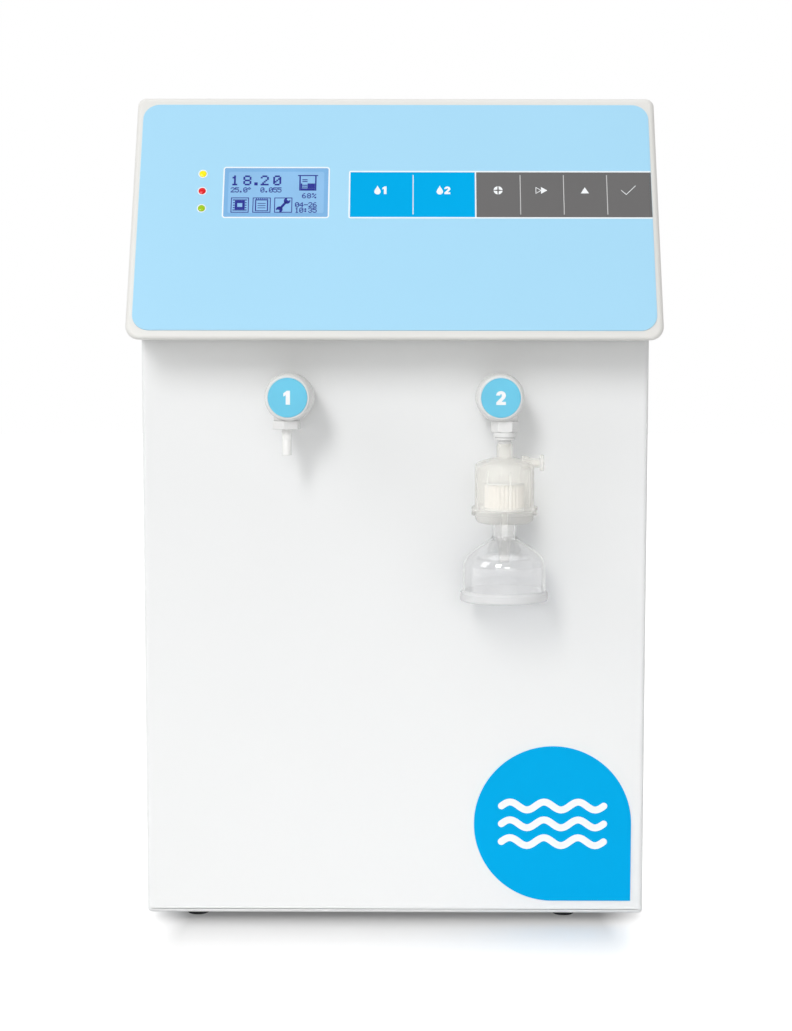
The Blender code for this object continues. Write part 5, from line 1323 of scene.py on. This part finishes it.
def wave_band(bm, reach, middle, level):
    """A ribbon along a sine wave, with round ends, as a print."""
    steps = 16 * WAVES
    shares = [step / steps for step in range(steps + 1)]
    line = [Vector((reach * (2 * share - 1), middle + WAVE_HEIGHT * math.sin(math.tau * WAVES * share)))
            for share in shares]
    upper, lower = [], []
    for index, spot in enumerate(line):
        run = line[min(index + 1, steps)] - line[max(index - 1, 0)]
        side = Vector((-run.y, run.x)).normalized() * WAVE_WIDTH / 2
        upper.append(spot + side)
        lower.append(spot - side)

    def end(spot, first):
        start = math.degrees(math.atan2(first.y - spot.y, first.x - spot.x))
        return arc(spot, WAVE_WIDTH / 2, start, start + 180, 8)[1:-1]

    outline = [*lower, *end(line[-1], lower[-1]), *reversed(upper), *end(line[0], upper[0])]
    printed(outline, level, bm)


def make_badge():
    """Round film badge with one square corner, printed with waves."""
    low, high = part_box("front_badge")
    radius, thickness = (high.x - low.x) / 2, high.y - low.y
    shape = slab([*arc((0, 0), radius, 0, 270, 108), (radius, -radius)], 0, thickness)
    round_top(shape, thickness, BADGE_EDGE, 2)
    place = at((low.x + high.x) / 2, high.y, (low.z + high.z) / 2) @ UPRIGHT
    piece("badge", shape, "badge_film", "front_badge", place)
    waves = bmesh.new()
    for middle in (0.0135, 0.0, -0.0135):
        wave_band(waves, 0.038, middle, thickness + HAIR)
    piece("badge_waves", waves, "badge_white", place=place)


# Rear fittings

def make_ports():
    """Push-in tube fittings: hexagon, barrel and grey collet ring round the bore."""
    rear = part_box("rear_panel")[1].y
    for node in ("feed_port", "tank_port", "drain_port"):
        low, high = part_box(node)
        place = facing(((low.x + high.x) / 2, rear, (low.z + high.z) / 2), (0, 1, 0))
        tail, reach = low.y - rear, high.y - rear
        barrel = [
            (0, tail), (0.0060, tail), (0.0065, tail + 0.0005), (0.0065, 0.0050), (0.0070, 0.0055),
            *arc((0.0064, reach - 0.0038), 0.0006, 0, 90, 4), (0, reach - 0.0032),
        ]
        joined = carved(turned(barrel, 64), joins=[hexagon(PORT_FLATS, 0.0003, 0.0050, 0.0004, 2)])
        bore = rod(0.0036, reach - 0.0150, reach + OVERRUN, 48)
        piece(f"{node}_fitting", carved(joined, cuts=[bore]), "white_moulding", node, place)
        collet = [
            (0.0033, reach - 0.0120), (0.0035, reach - 0.0120), (0.0035, reach - 0.0030),
            (0.0058, reach - 0.0030), *arc((0.0053, reach - 0.0005), 0.0005, 0, 90, 4), (0.0037, reach),
            (0.0033, reach - 0.0004),
        ]
        piece(f"{node}_collet", turned(collet, 64, ring=True), "grey_moulding", place=place)


def make_inlet():
    """Blades of the mains socket."""
    low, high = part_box("power_inlet")
    middle = (low + high) / 2
    wide, tall = 0.00105, 0.00205
    blades = bmesh.new()
    for aside, rise in ((-0.007, 0), (0, 0.0035), (0.007, 0)):
        x, z = middle.x + aside, middle.z - 0.0130 + rise
        blade = block((x - wide, high.y - 0.0169, z - tall), (x + wide, high.y - 0.0045, z + tall))
        round_edges(blade, edges_where(blade, lambda end: end.y > high.y - 0.0046), 0.0005, 2)
        added(blades, blade)
    piece("inlet_blades", blades, "ground_steel")


def make_rocker():
    """Rocker with a printed ring for off on its lower half and a stroke for on above."""
    shape = copy_of("power_rocker")
    shape.normal_update()
    halves = sorted((face for face in shape.faces if face.normal.y > 0.9),
                    key=lambda face: face.calc_center_median().z)
    ring = band(circle((0, 0), 0.0017), circle((0, 0), 0.0012), 0, PRINT)
    stroke = printed(rectangle(-0.00028, -0.0017, 0.00028, 0.0017))
    marks = bmesh.new()
    for half, sign in zip(halves, (ring, stroke)):
        added(marks, placed(sign, facing(half.calc_center_median() + half.normal * HAIR, half.normal)))
    piece("rocker", soften(shape, ROCKER_EDGE), "black_moulding", "power_rocker", body="power_rocker_body")
    piece("rocker_marks", marks, "mark_white", body="power_rocker_body")


# Insides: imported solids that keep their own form, under each finish

INSIDES = {
    "zinc_sheet": ("base_tray", "chassis_plate", "power_supply", "booster_motor"),
    "white_moulding": ("clip_rail", "ro_membrane_housing", "polishing_column_1", "polishing_column_2",
                       "inlet_valve"),
    "canister": ("sediment_filter", "carbon_filter"),
    "black_moulding": ("power_inlet", "pump_head"),
    "ground_steel": ("pump_shaft",),
    "solder_mask": ("control_board", "keypad_board"),
    "dark_module": ("display_module",),
    "white_tube": ("tap_1_tube", "tap_2_tube"),
}


def dress_insides():
    for coat, names in INSIDES.items():
        for name in names:
            for holder in NODES[name].material_slots:
                holder.material = FINISHES[coat]


make_camera()
make_world()
make_floor()
make_lamps()
make_front_panel()
make_sheet_parts()
make_screws()
make_feet()
make_head()
make_film()
make_film_prints()
make_keys()
make_display()
make_lamp_lenses()
make_tap("tap_1", "tap_1_nut", "1")
make_tap("tap_2", "tap_2_nut", "2")
make_nut("spout_nut", "tap_1_nut", 0.0184, 0.0039, turn=20, drop=0.0004)
make_nut("adapter_nut", "tap_2_nut", 0.0174, 0.0051, turn=-1, chamfer=True)
make_nut("tap_1_back_nut", "tap_1_panel_nut", 0.024, STEM_HOLE, upright=False)
make_nut("tap_2_back_nut", "tap_2_panel_nut", 0.024, STEM_HOLE, upright=False)
make_spout()
make_adapter()
make_filter()
make_bell()
make_badge()
make_ports()
make_inlet()
make_rocker()
dress_insides()
